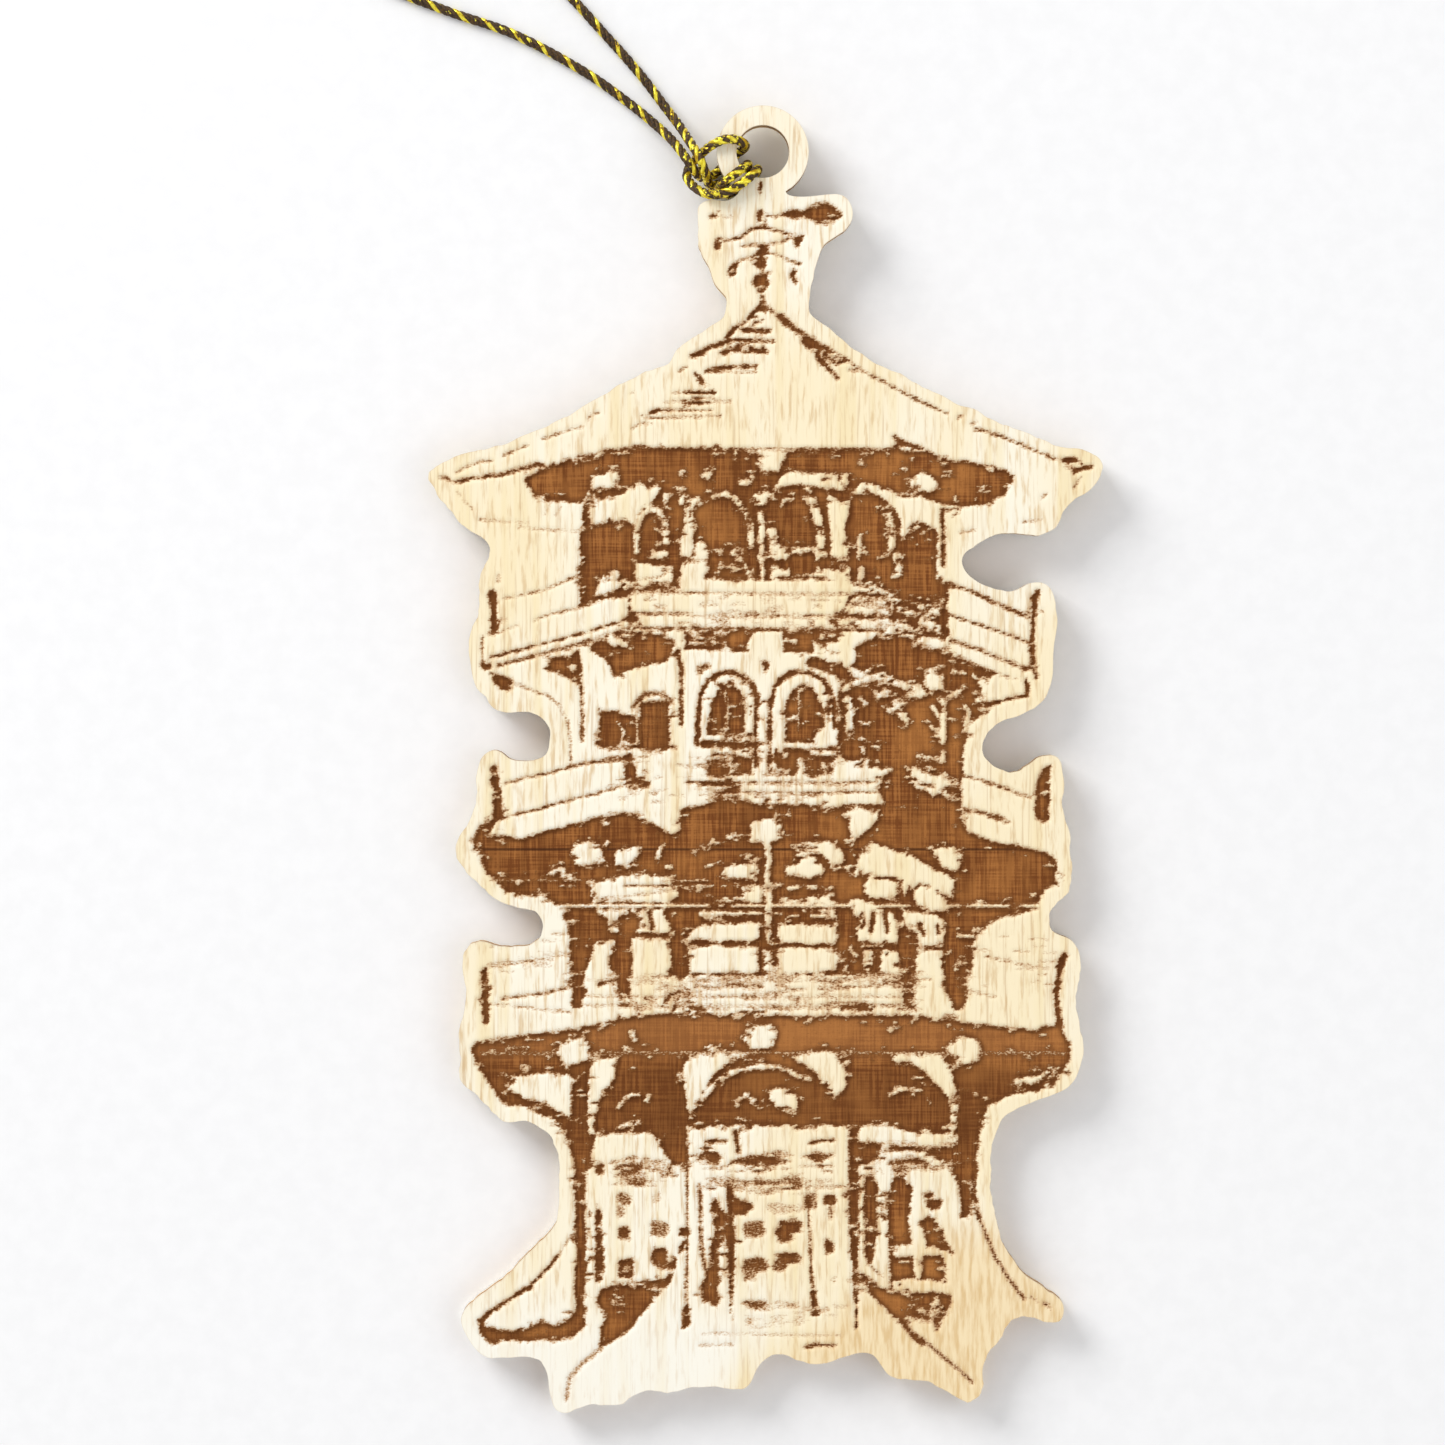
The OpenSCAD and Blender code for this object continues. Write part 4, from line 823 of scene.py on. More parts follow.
    # window panes of the right bay
    pen.burn((11.2, -36.2), (12, -36.2), (12.7, -37), (12.6, -39), (12.3, -40), (12.7, -42.1), (10.8, -42.3),
             (10.6, -38))
    pen.score(0.3, (10.8, -38), (10.9, -42), (10.9, -46))
    pen.bare((10.9, -42.4), (13, -42.3), (15.6, -42.3), (15.9, -43), (11.4, -43.1))
    pen.burn((11, -43.2), (12.8, -43.2), (13, -44.8), (13.4, -45.2), (11, -45.3))
    pen.burn((13.7, -43.1), (15.3, -43), (15.6, -44), (15.6, -45.4), (13.5, -45.2))
    pen.burn((13.5, -37.7), (14.3, -37.6), (15.3, -38.2), (15.3, -38.9), (14.4, -39.1), (13.9, -38.5))
    pen.burn((13.7, -40.2), (14.2, -39.6), (15.4, -41), (15.9, -42.2), (16.2, -42.9), (14, -42.2))
    pen.score(0.16, (15.7, -42.2), (16.3, -43), tone=0.8)
    # right flight of steps
    pen.burn((8.2, -44.6), (9.2, -45.2), (10.2, -46), (12.4, -46.1), (12.6, -47.4), (12, -48.6),
             (12.8, -49.6), (14, -50.9), (13.3, -50.8), (11.6, -49), (9.6, -47), (8, -45))
    pen.burn((12.2, -46.3), (16, -46.4), (16.3, -46.8), (15.5, -48.6), (14.8, -49.9), (14.6, -48.8),
             (13.4, -48.9), (12.4, -48.2))
    for x, y, rx, ry in ((13, -46.9, 0.5, 0.16), (14.9, -47.1, 0.35, 0.3), (13.6, -47.9, 0.5, 0.2),
                         (14.4, -48.3, 0.3, 0.3), (13.4, -48.7, 0.4, 0.18), (15.3, -47.7, 0.2, 0.24)):
        pen.gap(x, y, rx, ry, tone=0.2)
    pen.score(0.32, (13.6, -50.4), (15, -51.6), (16.6, -52.9), (18, -54.2), tone=0.75, ragged=0.5)
    pen.score(0.2, (9, -43.9), (9.6, -44.5), (10.2, -44.9), tone=0.6)


def draw_railing_marks(pen):
    """Broken marks at the right ends of the arches, the upper balcony and the middle one."""
    pen.leave(0.6, (10.4, 23.2), (11.5, 22.2), (12.1, 21), (12, 19.8))
    pen.leave(0.36, (10.7, 21.6), (11.1, 20.2), (11, 18.6))
    pen.score(0.3, (6.6, 12.6), (7.3, 14.2), (8, 14.6), (10.4, 14.3), (10.9, 13.2), (10.8, 12.5))
    pen.score(0.26, (6.8, 12.8), (8.4, 12.5), (10.6, 12.6), tone=0.8)
    pen.score(0.26, (7.5, 13.5), (9, 13.6), (10.6, 13.3), tone=0.6)
    pen.burn((11, 14), (12.4, 13.7), (14, 13), (15.4, 12.4), (15.5, 11), (13, 11.6), (11, 12.4))
    pen.leave(0.6, (11.6, 13.2), (12.9, 12.6))
    pen.leave(0.7, (13.5, 12.1), (14.9, 11.6))
    pen.leave(0.26, (13.4, 12.9), (14.6, 12.4), tone=0.2)
    pen.score(0.3, (13, -0.4), (14, -0.9), (15, -1.2))
    pen.score(0.3, (12.8, -1.6), (13.8, -2.1), (14.6, -2.2))


def draw_hatching(pen):
    """Faint level scratches over the railings and the heads of doors and windows."""
    pen.hatch(31, 90, (-11.8, -21.7), (3, -18.6), (0.25, 0.7))
    pen.hatch(32, 70, (3, -21.7), (13, -18.4), (0.25, 0.7))
    pen.hatch(33, 40, (-14.6, -37), (-8.4, -34.4), (0.3, 0.8))
    pen.hatch(34, 60, (-5.6, -37.8), (5.4, -34), (0.3, 0.8))
    pen.hatch(35, 36, (8.8, -36), (16, -33), (0.3, 0.8))
    pen.hatch(36, 70, (-11, 11.4), (12, 14.4), (0.2, 0.55))
    pen.hatch(37, 70, (-14, -3.6), (8, 0.4), (0.2, 0.6))
    pen.hatch(38, 26, (-24.4, -18.6), (-15.6, -15.4), (0.15, 0.45))
    pen.hatch(39, 26, (16, -20), (25, -15), (0.15, 0.45))
    pen.hatch(40, 24, (-2.4, -49.6), (6, -47), (0.15, 0.5))


DRAWING = [
    draw_finial, draw_gable, draw_top_eave, draw_fourth_storey, draw_upper_balcony, draw_third_storey,
    draw_middle_balcony, draw_middle_eave, draw_second_storey, draw_lower_eave, draw_ground_arches,
    draw_ground_storey, draw_railing_marks, draw_hatching
]


# ---------------------------------------------------------------- wood

RECESS = 0.28
# Roughness of the burnt floor: how deep, and over how many grid steps, up and across
GRAIN_DEPTH = 0.03
GRAIN_CELL = (9, 1.4)
GRIT_DEPTH = 0.02
GRIT_CELL = (1.2, 1.2)
# How far the shade round burnt wood and along the cut edges reaches
NEAR_REACH = 0.45
CUT_REACH = 0.35
# The face's grid stops this far inside the cut edge, and the strip between is filled in
RIM_STRIP = 0.14
WALL_ROWS = 3
WALL_RIPPLE = 0.012
OUTLINE_STEP = 0.3
# The hanging ring, above RING_FOOT, is cut smooth; the rest has eased corners and small scallops
RING_FOOT = 49
EASINGS = 2
SCALLOP = 0.1
LONG_SCALLOP = (2, 4.0)
SHORT_SCALLOP = (2, 1.7)
CREASE = math.radians(50)


def top_loops(node):
    """The outer outline and the hole of a node's upper face, each as points in order."""
    mesh = frame["nodes"][node].data
    mesh.calc_loop_triangles()
    corner = {}
    directed = {}
    for triangle in mesh.loop_triangles:
        if triangle.normal.z < 0.9:
            continue
        keys = []
        for i in triangle.vertices:
            co = mesh.vertices[i].co
            key = (round(co.x, 7), round(co.y, 7))
            corner[key] = co / MM
            keys.append(key)
        for a, b in zip(keys, keys[1:] + keys[:1]):
            directed[(a, b)] = True
    rim = {a: b for a, b in directed if (b, a) not in directed}
    loops = []
    while rim:
        start = next(iter(rim))
        loop = [start]
        while rim[loop[-1]] != start:
            loop.append(rim.pop(loop[-1]))
        rim.pop(loop[-1])
        loops.append([corner[key] for key in loop])
    loops.sort(key=len, reverse=True)
    return loops


def tilt_of(record):
    """Turns points of the flat, level plate into the way it rests."""
    axis = next(m for m in record["mounts"] if m["name"] == "back_face")["axis"]
    angle = math.atan2(axis[1], -axis[2])
    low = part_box("back_veneer")[0]
    foot = Matrix.Translation((0, low.y / MM, 0))
    return foot @ Matrix.Rotation(angle, 4, "X") @ foot.inverted()


def flatten(points, matrix):
    """Points of the resting plate, moved back into the flat, level plate."""
    back = matrix.inverted()
    return np.array([tuple(back @ Vector(p)) for p in points])


def triangles_between(points, loops, keep):
    """Triangles that fill the area between closed loops of indices into the points."""
    edges = []
    for loop in loops:
        edges += list(zip(loop, loop[1:] + loop[:1]))
    flat = [Vector(p[:2]) for p in points]
    _, _, faces, origin, _, _ = geometry.delaunay_2d_cdt(flat, edges, [], 0, 1e-6)
    index = [o[0] if o else -1 for o in origin]
    found = np.array([[index[i] for i in face] for face in faces])
    found = found[(found >= 0).all(axis=1)]
    corners = np.array([p[:2] for p in points])[found]
    return [tuple(f) for f in found[keep(corners.mean(axis=1))].tolist()]


def ordered_loops(pairs):
    """Joins directed edges into closed loops, splitting where two loops touch."""
    after = {}
    for a, b in pairs:
        after.setdefault(a, []).append(b)
    loops = []
    while after:
        start = next(iter(after))
        loop = [start]
        while True:
            here = loop[-1]
            following = after[here].pop()
            if not after[here]:
                del after[here]
            if following == start:
                break
            loop.append(following)
        loops.append(loop)
    return loops


def rippled(loop, seed):
    """The same closed line, its corners eased, with the small uneven scallops of a laser cut."""
    below_ring = np.clip((RING_FOOT - loop[:, 1]) / 2, 0, 1)[:, None]
    eased = loop
    for _ in range(EASINGS):
        eased = sum(np.roll(eased, k, axis=0) for k in (-2, -1, 0, 1, 2)) / 5
    loop = loop + (eased - loop) * below_ring
    count = len(loop)
    rng = np.random.default_rng(seed)
    ahead = np.roll(loop, -1, axis=0) - np.roll(loop, 1, axis=0)
    ahead /= np.linalg.norm(ahead, axis=1)[:, None]
    outward = np.column_stack([ahead[:, 1], -ahead[:, 0]])
    wave = smooth_noise(rng, (2, count), LONG_SCALLOP)[0]
    wave = wave + 0.6 * smooth_noise(rng, (2, count), SHORT_SCALLOP)[0]
    from_seam = np.minimum(np.arange(count), np.arange(count)[::-1])
    fade = np.minimum(1, from_seam / 10)
    return loop + SCALLOP * (wave * fade)[:, None] * outward * below_ring


def wood_test(outline, hole):
    """A function that says which of many places are on the wood."""
    def on_wood(places):
        x, y = places.T
        return edge_distance(x, y, outline)[1] & ~edge_distance(x, y, hole)[1]
    return on_wood


def add_walls(points, faces, upper, depth, rng):
    """Rows of wall quads from a top loop of point indices down to the given height."""
    rows = [list(upper)]
    top = np.array([points[i] for i in upper])
    for k in range(1, WALL_ROWS + 1):
        row = top.copy()
        row[:, 2] += (depth - top[:, 2]) * k / WALL_ROWS
        if k < WALL_ROWS:
            row[:, :2] += rng.uniform(-WALL_RIPPLE, WALL_RIPPLE, (len(row), 2))
        rows.append(list(range(len(points), len(points) + len(row))))
        points.extend(row.tolist())
    for above, below in zip(rows, rows[1:]):
        for i in range(len(above)):
            j = (i + 1) % len(above)
            faces.append((above[j], above[i], below[i], below[j]))
    return rows[-1]


def layer(name, outline, hole, top, bottom, matrix, seed):
    """A plain layer of the plywood, its cut edges a little uneven."""
    rng = np.random.default_rng(seed)
    on_wood = wood_test(outline, hole)
    rim = np.vstack([outline, hole])
    points = np.column_stack([rim, np.full(len(rim), top)]).tolist()
    outer = list(range(len(outline)))
    inner = list(range(len(outline), len(rim)))
    cap = triangles_between(rim, [outer, inner], on_wood)
    faces = [tuple(f) for f in cap]
    outer_low = add_walls(points, faces, outer, bottom, rng)
    inner_low = add_walls(points, faces, inner, bottom, rng)
    low = dict(zip(outer + inner, outer_low + inner_low))
    faces += [(low[c], low[b], low[a]) for a, b, c in cap]
    placed = [tuple(matrix @ Vector(p)) for p in points]
    return mesh_object(name, placed, faces, smooth=False)


def depth_in_wood(x, y, outline, hole):
    """Distance from each place inside the cut edges to the nearest of them, and 0 or less outside."""
    distance, inside = edge_distance(x, y, outline[::3])
    centre = hole.mean(axis=0)
    radius = np.hypot(*(hole - centre).T).mean()
    from_hole = np.hypot(x - centre[0], y - centre[1]) - radius
    return np.where(inside, np.minimum(distance, from_hole), 0)


def grid_quads(solid):
    """The cells whose four corners are solid, which corners they use, and their faces."""
    full = solid[:-1, :-1] & solid[1:, :-1] & solid[:-1, 1:] & solid[1:, 1:]
    used = np.zeros(solid.shape, dtype=bool)
    for rows in (slice(0, -1), slice(1, None)):
        for cols in (slice(0, -1), slice(1, None)):
            used[rows, cols] |= full
    number = np.full(solid.shape, -1)
    number[used] = np.arange(used.sum())
    r, c = np.nonzero(full)
    quads = np.column_stack([number[r, c], number[r, c + 1], number[r + 1, c + 1], number[r + 1, c]])
    return full, used, [tuple(q) for q in quads.tolist()]


def border_loops(faces):
    """The closed loops of the edges that belong to one face only."""
    directed = set()
    for face in faces:
        for a, b in zip(face, face[1:] + face[:1]):
            if (b, a) in directed:
                directed.discard((b, a))
            else:
                directed.add((a, b))
    return ordered_loops(sorted(directed))


def engraved_layer(name, outline, hole, top, bottom, matrix, pen, seed):
    """The face veneer: a fine grid sunk where it is burnt, joined to the cut edges."""
    rng = np.random.default_rng(seed)
    on_wood = wood_test(outline, hole)
    x, y = np.meshgrid(pen.xs, pen.ys)
    distance = depth_in_wood(x, y, outline, hole)
    full, used, faces = grid_quads(distance > RIM_STRIP)
    burn = np.clip(pen.field, 0, 1)
    grain = GRAIN_DEPTH * smooth_noise(rng, burn.shape, GRAIN_CELL)
    grit = GRIT_DEPTH * smooth_noise(rng, burn.shape, GRIT_CELL)
    sunk = burn * burn * (3 - 2 * burn)
    height = top - sunk * (RECESS + (grain + grit))
    points = np.column_stack([x[used], y[used], height[used]]).tolist()
    burns = burn[used].tolist()
    nears = pen.nearby(NEAR_REACH)[used].tolist()
    cuts = np.clip(1 - distance[used] / CUT_REACH, 0, 1).tolist()
    stairs = border_loops(faces)
    start = len(points)
    rim = np.vstack([outline, hole])
    points += np.column_stack([rim, np.full(len(rim), top)]).tolist()
    outer = list(range(start, start + len(outline)))
    inner = list(range(start + len(outline), start + len(rim)))
    strip_ids = sorted({i for loop in stairs for i in loop}) + outer + inner
    place = {i: k for k, i in enumerate(strip_ids)}
    strip_points = [points[i] for i in strip_ids]
    loops = [[place[i] for i in loop] for loop in stairs + [outer, inner]]

    def in_strip(places):
        cols = ((places[:, 0] - pen.xs[0]) / GRID).astype(int)
        rows = ((places[:, 1] - pen.ys[0]) / GRID).astype(int)
        return on_wood(places) & ~full[rows, cols]
    strip = triangles_between(strip_points, loops, in_strip)
    faces += [tuple(strip_ids[i] for i in f) for f in strip]
    outer_low = add_walls(points, faces, outer, bottom, rng)
    inner_low = add_walls(points, faces, inner, bottom, rng)
    cap_ids = outer_low + inner_low
    cap_points = [points[i] for i in cap_ids]
    cap_loops = [list(range(len(outer_low))), list(range(len(outer_low), len(cap_ids)))]
    cap = triangles_between(cap_points, cap_loops, on_wood)
    faces += [(cap_ids[c], cap_ids[b], cap_ids[a]) for a, b, c in cap]
    burns += [0.0] * (len(points) - len(burns))
    nears += [0.0] * (len(points) - len(nears))
    cuts += [1.0] * (len(points) - len(cuts))
    placed = [tuple(matrix @ Vector(p)) for p in points]
    piece = mesh_object(name, placed, faces, burn=burns, near=nears, cut=cuts)
    piece.data.set_sharp_from_angle(angle=CREASE)
    return piece


# ---------------------------------------------------------------- materials

def srgb(r, g, b):
    """Linear colour from an everyday 0 to 255 colour."""
    def line(v):
        v = v / 255
        return v / 12.92 if v <= 0.04045 else ((v + 0.055) / 1.055) ** 2.4
    return (line(r), line(g), line(b), 1)


class Nodes:
    """Builds one material's node tree with short calls."""

    def __init__(self, name):
        self.material = bpy.data.materials.new(name)
        self.material.use_nodes = True
        self.tree = self.material.node_tree
        self.shader = self.tree.nodes["Principled BSDF"]
        self.place = self.new("ShaderNodeTexCoord").outputs["Object"]

    def new(self, kind, **settings):
        node = self.tree.nodes.new(kind)
        for key, value in settings.items():
            setattr(node, key, value)
        return node

    def link(self, source, socket):
        if hasattr(source, "is_linked"):
            self.tree.links.new(source, socket)
        else:
            socket.default_value = source

    def scaled(self, x, y, z):
        """Object coordinates with each axis scaled, in units per millimetre."""
        node = self.new("ShaderNodeMapping")
        self.link(self.place, node.inputs["Vector"])
        node.inputs["Scale"].default_value = (x / MM, y / MM, z / MM)
        return node.outputs["Vector"]

    def noise(self, x, y, z, detail):
        node = self.new("ShaderNodeTexNoise")
        self.link(self.scaled(x, y, z), node.inputs["Vector"])
        node.inputs["Scale"].default_value = 1
        node.inputs["Detail"].default_value = detail
        node.inputs["Roughness"].default_value = 0.55
        return node.outputs["Fac"]

    def maths(self, operation, a, b=0.0):
        node = self.new("ShaderNodeMath", operation=operation)
        self.link(a, node.inputs[0])
        self.link(b, node.inputs[1])
        return node.outputs[0]

    def between(self, value, low, high):
        """0 below low, 1 above high, smooth in the middle."""
        node = self.new("ShaderNodeMapRange", interpolation_type="SMOOTHSTEP")
        self.link(value, node.inputs["Value"])
        node.inputs["From Min"].default_value = low
        node.inputs["From Max"].default_value = high
        return node.outputs["Result"]

    def mix(self, amount, a, b):
        node = self.new("ShaderNodeMix", data_type="RGBA")
        self.link(amount, node.inputs["Factor"])
        self.link(a, node.inputs[6])
        self.link(b, node.inputs[7])
        return node.outputs[2]

    def tint(self, colour, mask, strength, other):
        """The colour with part of another laid over it where the mask is 1."""
        return self.mix(self.maths("MULTIPLY", mask, strength), colour, srgb(*other))

    def attribute(self, name):
        return self.new("ShaderNodeAttribute", attribute_name=name).outputs["Fac"]

    def axis(self, name):
        node = self.new("ShaderNodeSeparateXYZ")
        self.link(self.place, node.inputs[0])
        return self.maths("DIVIDE", node.outputs[name], MM)

    def band(self, y, inner, outer):
        """1 within the inner distance of a level line at height y, falling to 0 at the outer one."""
        off = self.maths("ABSOLUTE", self.maths("SUBTRACT", self.axis("Y"), y))
        return self.between(off, outer, inner)

    def bump(self, height, distance, strength):
        node = self.new("ShaderNodeBump")
        node.inputs["Strength"].default_value = strength
        node.inputs["Distance"].default_value = distance * MM
        self.link(height, node.inputs["Height"])
        self.link(node.outputs["Normal"], self.shader.inputs["Normal"])


def bare_wood(n):
    """Pale basswood: fine grain along the tag, cloudy warm patches, painted shade that makes the lower right
    foot tanner, and paler wood along the rest of the bottom.
    """
    dashes = n.noise(2.6, 0.35, 1.0, detail=4)
    fine = n.noise(4.5, 0.12, 1.0, detail=3)
    streak = n.noise(0.7, 0.03, 0.4, detail=3)
    cloud = n.noise(0.07, 0.045, 0.1, detail=2)
    colour = n.mix(n.between(cloud, 0.36, 0.66), srgb(252, 245, 226), srgb(250, 235, 200))
    colour = n.tint(colour, n.between(streak, 0.44, 0.72), 0.7, (244, 224, 176))
    colour = n.tint(colour, n.between(dashes, 0.5, 0.7), 0.75, (222, 192, 146))
    colour = n.tint(colour, n.between(fine, 0.54, 0.74), 0.5, (202, 168, 124))
    # Painted shade: the lower right foot is tinted tan, standing in for a soft shadow that falls there.
    across = n.maths("ADD", n.axis("X"), n.maths("MULTIPLY", streak, 5))
    down = n.maths("MULTIPLY", n.axis("Y"), -1)
    slant = n.maths("ADD", across, n.maths("MULTIPLY", down, 1.1))
    foot = n.maths("MULTIPLY", n.between(slant, 59.5, 65), n.between(down, 37, 44))
    tan = n.mix(n.between(dashes, 0.38, 0.66), srgb(246, 224, 182), srgb(226, 194, 142))
    colour = n.mix(n.maths("MULTIPLY", foot, 0.9), colour, tan)
    # Paler towards the bottom, left of the tan foot.
    paler_bottom = n.maths("MULTIPLY", n.between(down, 44, 52), n.between(slant, 62, 54))
    return n.tint(colour, paler_bottom, 0.55, (250, 248, 240)), dashes


def face_material():
    """Bare wood, scorched to brown where the laser has burnt it."""
    n = Nodes("engraved_basswood")
    bare, dashes = bare_wood(n)
    burn = n.attribute("burn")
    near = n.attribute("near")
    rag = n.maths("MULTIPLY", n.maths("SUBTRACT", n.noise(4, 7, 1, detail=3), 0.5), 1.3)
    burn = n.maths("ADD", burn, n.maths("MULTIPLY", rag, n.between(burn, 0.02, 0.25)))
    threads = n.noise(5.2, 0.26, 1, detail=2)
    scan = n.noise(0.2, 5.4, 0.2, detail=2)
    weave = n.maths("ADD", n.maths("MULTIPLY", threads, 0.6), n.maths("MULTIPLY", scan, 0.4))
    streak = n.noise(0.9, 0.06, 1, detail=3)
    cloud = n.noise(0.14, 0.12, 0.2, detail=3)
    brown = n.mix(n.between(weave, 0.4, 0.6), srgb(115, 64, 27), srgb(165, 106, 54))
    brown = n.tint(brown, n.between(streak, 0.42, 0.66), 0.45, (106, 60, 24))
    brown = n.tint(brown, n.between(cloud, 0.52, 0.7), 0.55, (182, 120, 62))
    brown = n.tint(brown, n.between(cloud, 0.48, 0.3), 0.45, (100, 57, 22))
    brown = n.tint(brown, n.band(-23.4, 2, 3.2), 0.4, (180, 119, 66))
    brown = n.tint(brown, n.band(-30.5, 3, 4.5), 0.4, (96, 54, 22))
    brown = n.tint(brown, n.band(-7.75, 0.05, 0.16), 0.8, (66, 34, 14))
    rim = n.maths("MULTIPLY", n.between(near, 0.98, 0.6), 0.75)
    brown = n.mix(rim, brown, srgb(92, 50, 18))
    glow = n.maths("MULTIPLY", n.between(near, 0.05, 0.7), n.between(dashes, 0.42, 0.6))
    bare = n.tint(bare, glow, 0.35, (214, 174, 126))
    tan = n.mix(n.between(threads, 0.4, 0.6), srgb(212, 176, 136), srgb(186, 144, 104))
    colour = n.mix(n.between(burn, 0.08, 0.3), bare, n.mix(0.45, bare, tan))
    colour = n.mix(n.between(burn, 0.3, 0.46), colour, tan)
    colour = n.mix(n.between(burn, 0.45, 0.66), colour, srgb(126, 78, 36))
    colour = n.mix(n.between(burn, 0.62, 0.9), colour, brown)
    cut = n.between(n.attribute("cut"), 0.8, 1.0)
    colour = n.tint(colour, cut, 0.35, (196, 178, 160))
    n.link(colour, n.shader.inputs["Base Color"])
    rough = n.maths("MULTIPLY", n.between(burn, 0.4, 0.9), 0.2)
    n.link(n.maths("ADD", rough, 0.6), n.shader.inputs["Roughness"])
    n.shader.inputs["Specular IOR Level"].default_value = 0.12
    relief = n.maths("MULTIPLY", weave, n.between(burn, 0.4, 0.9))
    n.bump(n.maths("ADD", n.maths("MULTIPLY", dashes, 0.5), n.maths("MULTIPLY", relief, 2)), 0.03, 0.5)
    return n.material


def ply_material(name, light, dark):
    """A layer seen only at its cut edge: toasted, with darker bars across it."""
    n = Nodes(name)
    along = n.noise(0.5, 0.5, 0.3, detail=4)
    bars = n.noise(4, 4, 0.4, detail=2)
    colour = n.mix(n.between(along, 0.35, 0.65), light, dark)
    colour = n.tint(colour, n.between(bars, 0.52, 0.7), 0.45, (120, 80, 46))
    n.link(colour, n.shader.inputs["Base Color"])
    n.shader.inputs["Roughness"].default_value = 0.75
    n.shader.inputs["Specular IOR Level"].default_value = 0.2
    n.bump(bars, 0.03, 0.4)
    return n.material


def back_material():
    """Plain wood, not engraved."""
    n = Nodes("basswood_back")
    bare, dashes = bare_wood(n)
    n.link(bare, n.shader.inputs["Base Color"])
    n.shader.inputs["Roughness"].default_value = 0.66
    n.shader.inputs["Specular IOR Level"].default_value = 0.25
    n.bump(dashes, 0.02, 0.5)
    return n.material


def cord_material():
    """Dark olive thread wound with bright gold foil, with painted glints and a painted sheen near the ring.
    """
    n = Nodes("metallic_cord")
    # Painted glints: the glint noise brightens the gold in spots and breaks the foil into short bright
    # patches, standing in for highlights on the foil.
    glint = n.noise(1.9, 1.9, 1.9, detail=3)
    # Painted sheen: more foil colour near the ring, where the cord shines brighter.
    ring_sheen = n.between(n.axis("X"), -8.5, -5.5)
    foil = n.maths("ADD", n.attribute("foil"), n.maths("MULTIPLY", n.maths("SUBTRACT", glint, 0.56), 2.6))
    foil = n.between(n.maths("ADD", foil, n.maths("MULTIPLY", ring_sheen, 0.3)), 0.5, 0.62)
    fibre = n.noise(6, 6, 6, detail=3)
    gold = n.mix(n.between(glint, 0.38, 0.58), srgb(198, 156, 22), srgb(255, 238, 74))
    dark = n.mix(n.between(fibre, 0.4, 0.65), srgb(44, 27, 6), srgb(92, 64, 18))
    n.link(n.mix(foil, dark, gold), n.shader.inputs["Base Color"])
    n.link(n.maths("MULTIPLY", foil, 0.65), n.shader.inputs["Metallic"])
    n.link(n.maths("SUBTRACT", 0.7, n.maths("MULTIPLY", foil, 0.42)), n.shader.inputs["Roughness"])
    n.bump(fibre, 0.05, 0.6)
    return n.material


# ---------------------------------------------------------------- cord

CORD_D = 0.86
STRAND_R = 0.2
STRAND_SIDES = 8
STRANDS = 4
# How much foil the strands carry, by their number, and how much painted sheen is added at the hitch as extra
# foil colour, where the cord shines brighter
FOIL_STRANDS = {0: 1.0, 2: 0.4}
HITCH_SHEEN = 0.22
HITCH_REACH = 7
RING_R = 4
LAY_LENGTH = 2.6
RING_STEP = 0.2
ON_FLOOR = 0.46
OVER = 4.8
KNOT_AT = (-50, 88)
KNOT_ANGLE = math.radians(135)
KNOT_D = 2.6
KNOT_LEN = 2.6

LEFT_STRAND = [
    (-50.35, 87.65, 1.3), (-49.25, 86.55, 1.3), (-46.6, 82.6, 0.6), (-43.5, 77, ON_FLOOR),
    (-39, 71.8, ON_FLOOR), (-33.8, 68, ON_FLOOR), (-28, 65.6, ON_FLOOR), (-22, 63.5, ON_FLOOR),
    (-16, 60.3, ON_FLOOR), (-12, 57.5, 0.5), (-9.6, 55.5, 1.1), (-8.2, 54.1, 2.3),
    (-7.3, 52.9, 3.5), (-6.7, 52, 3.9), (-6.2, 51.3, 3.4)
]
FIRST_PASS = [
    (-5.9, 51, 2.3), (-5.5, 50.9, 1.2), (-4.8, 51.1, 0.5), (-4, 51.7, ON_FLOOR),
    (-3.2, 52.5, ON_FLOOR), (-2.5, 53.1, 0.55), (-2, 53.4, 1.2), (-1.85, 53.5, 2.4),
    (-1.85, 53.55, 3.7), (-2.15, 53.75, 4.6), (-2.8, 53.95, 4.85), (-3.6, 53.95, OVER),
    (-4.5, 53.6, 4.6), (-5.3, 53.1, 3.9)
]
BIGHT = [
    (-5.9, 52.6, 2.9), (-6.55, 52, 2.3), (-6.9, 51, 2.3), (-6.5, 50.2, 3.1), (-5.7, 49.5, 4.1),
    (-4.7, 49.15, 4.75)
]
SECOND_PASS = [
    (-3.5, 49.35, OVER), (-2.3, 50, 4.85), (-1.3, 50.8, OVER), (-0.85, 51.3, 4.3),
    (-0.75, 51.5, 3.2), (-0.75, 51.5, 1.8), (-0.9, 51.3, 0.9), (-1.45, 50.7, ON_FLOOR),
    (-2.4, 49.95, ON_FLOOR), (-3.3, 49.55, 0.5)
]
THIRD_PASS = [
    (-3.9, 49.55, 0.9), (-4.15, 49.75, 1.9), (-4.15, 49.85, 3.3), (-3.85, 50.1, 4.5),
    (-3.1, 50.65, 4.9), (-2.3, 51.25, 4.85), (-1.75, 51.7, 4.4), (-1.6, 51.9, 3.3),
    (-1.6, 51.9, 1.8), (-1.75, 51.75, 0.85), (-2.35, 51.3, ON_FLOOR), (-3.2, 50.75, ON_FLOOR),
    (-4.1, 50.4, 0.5)
]
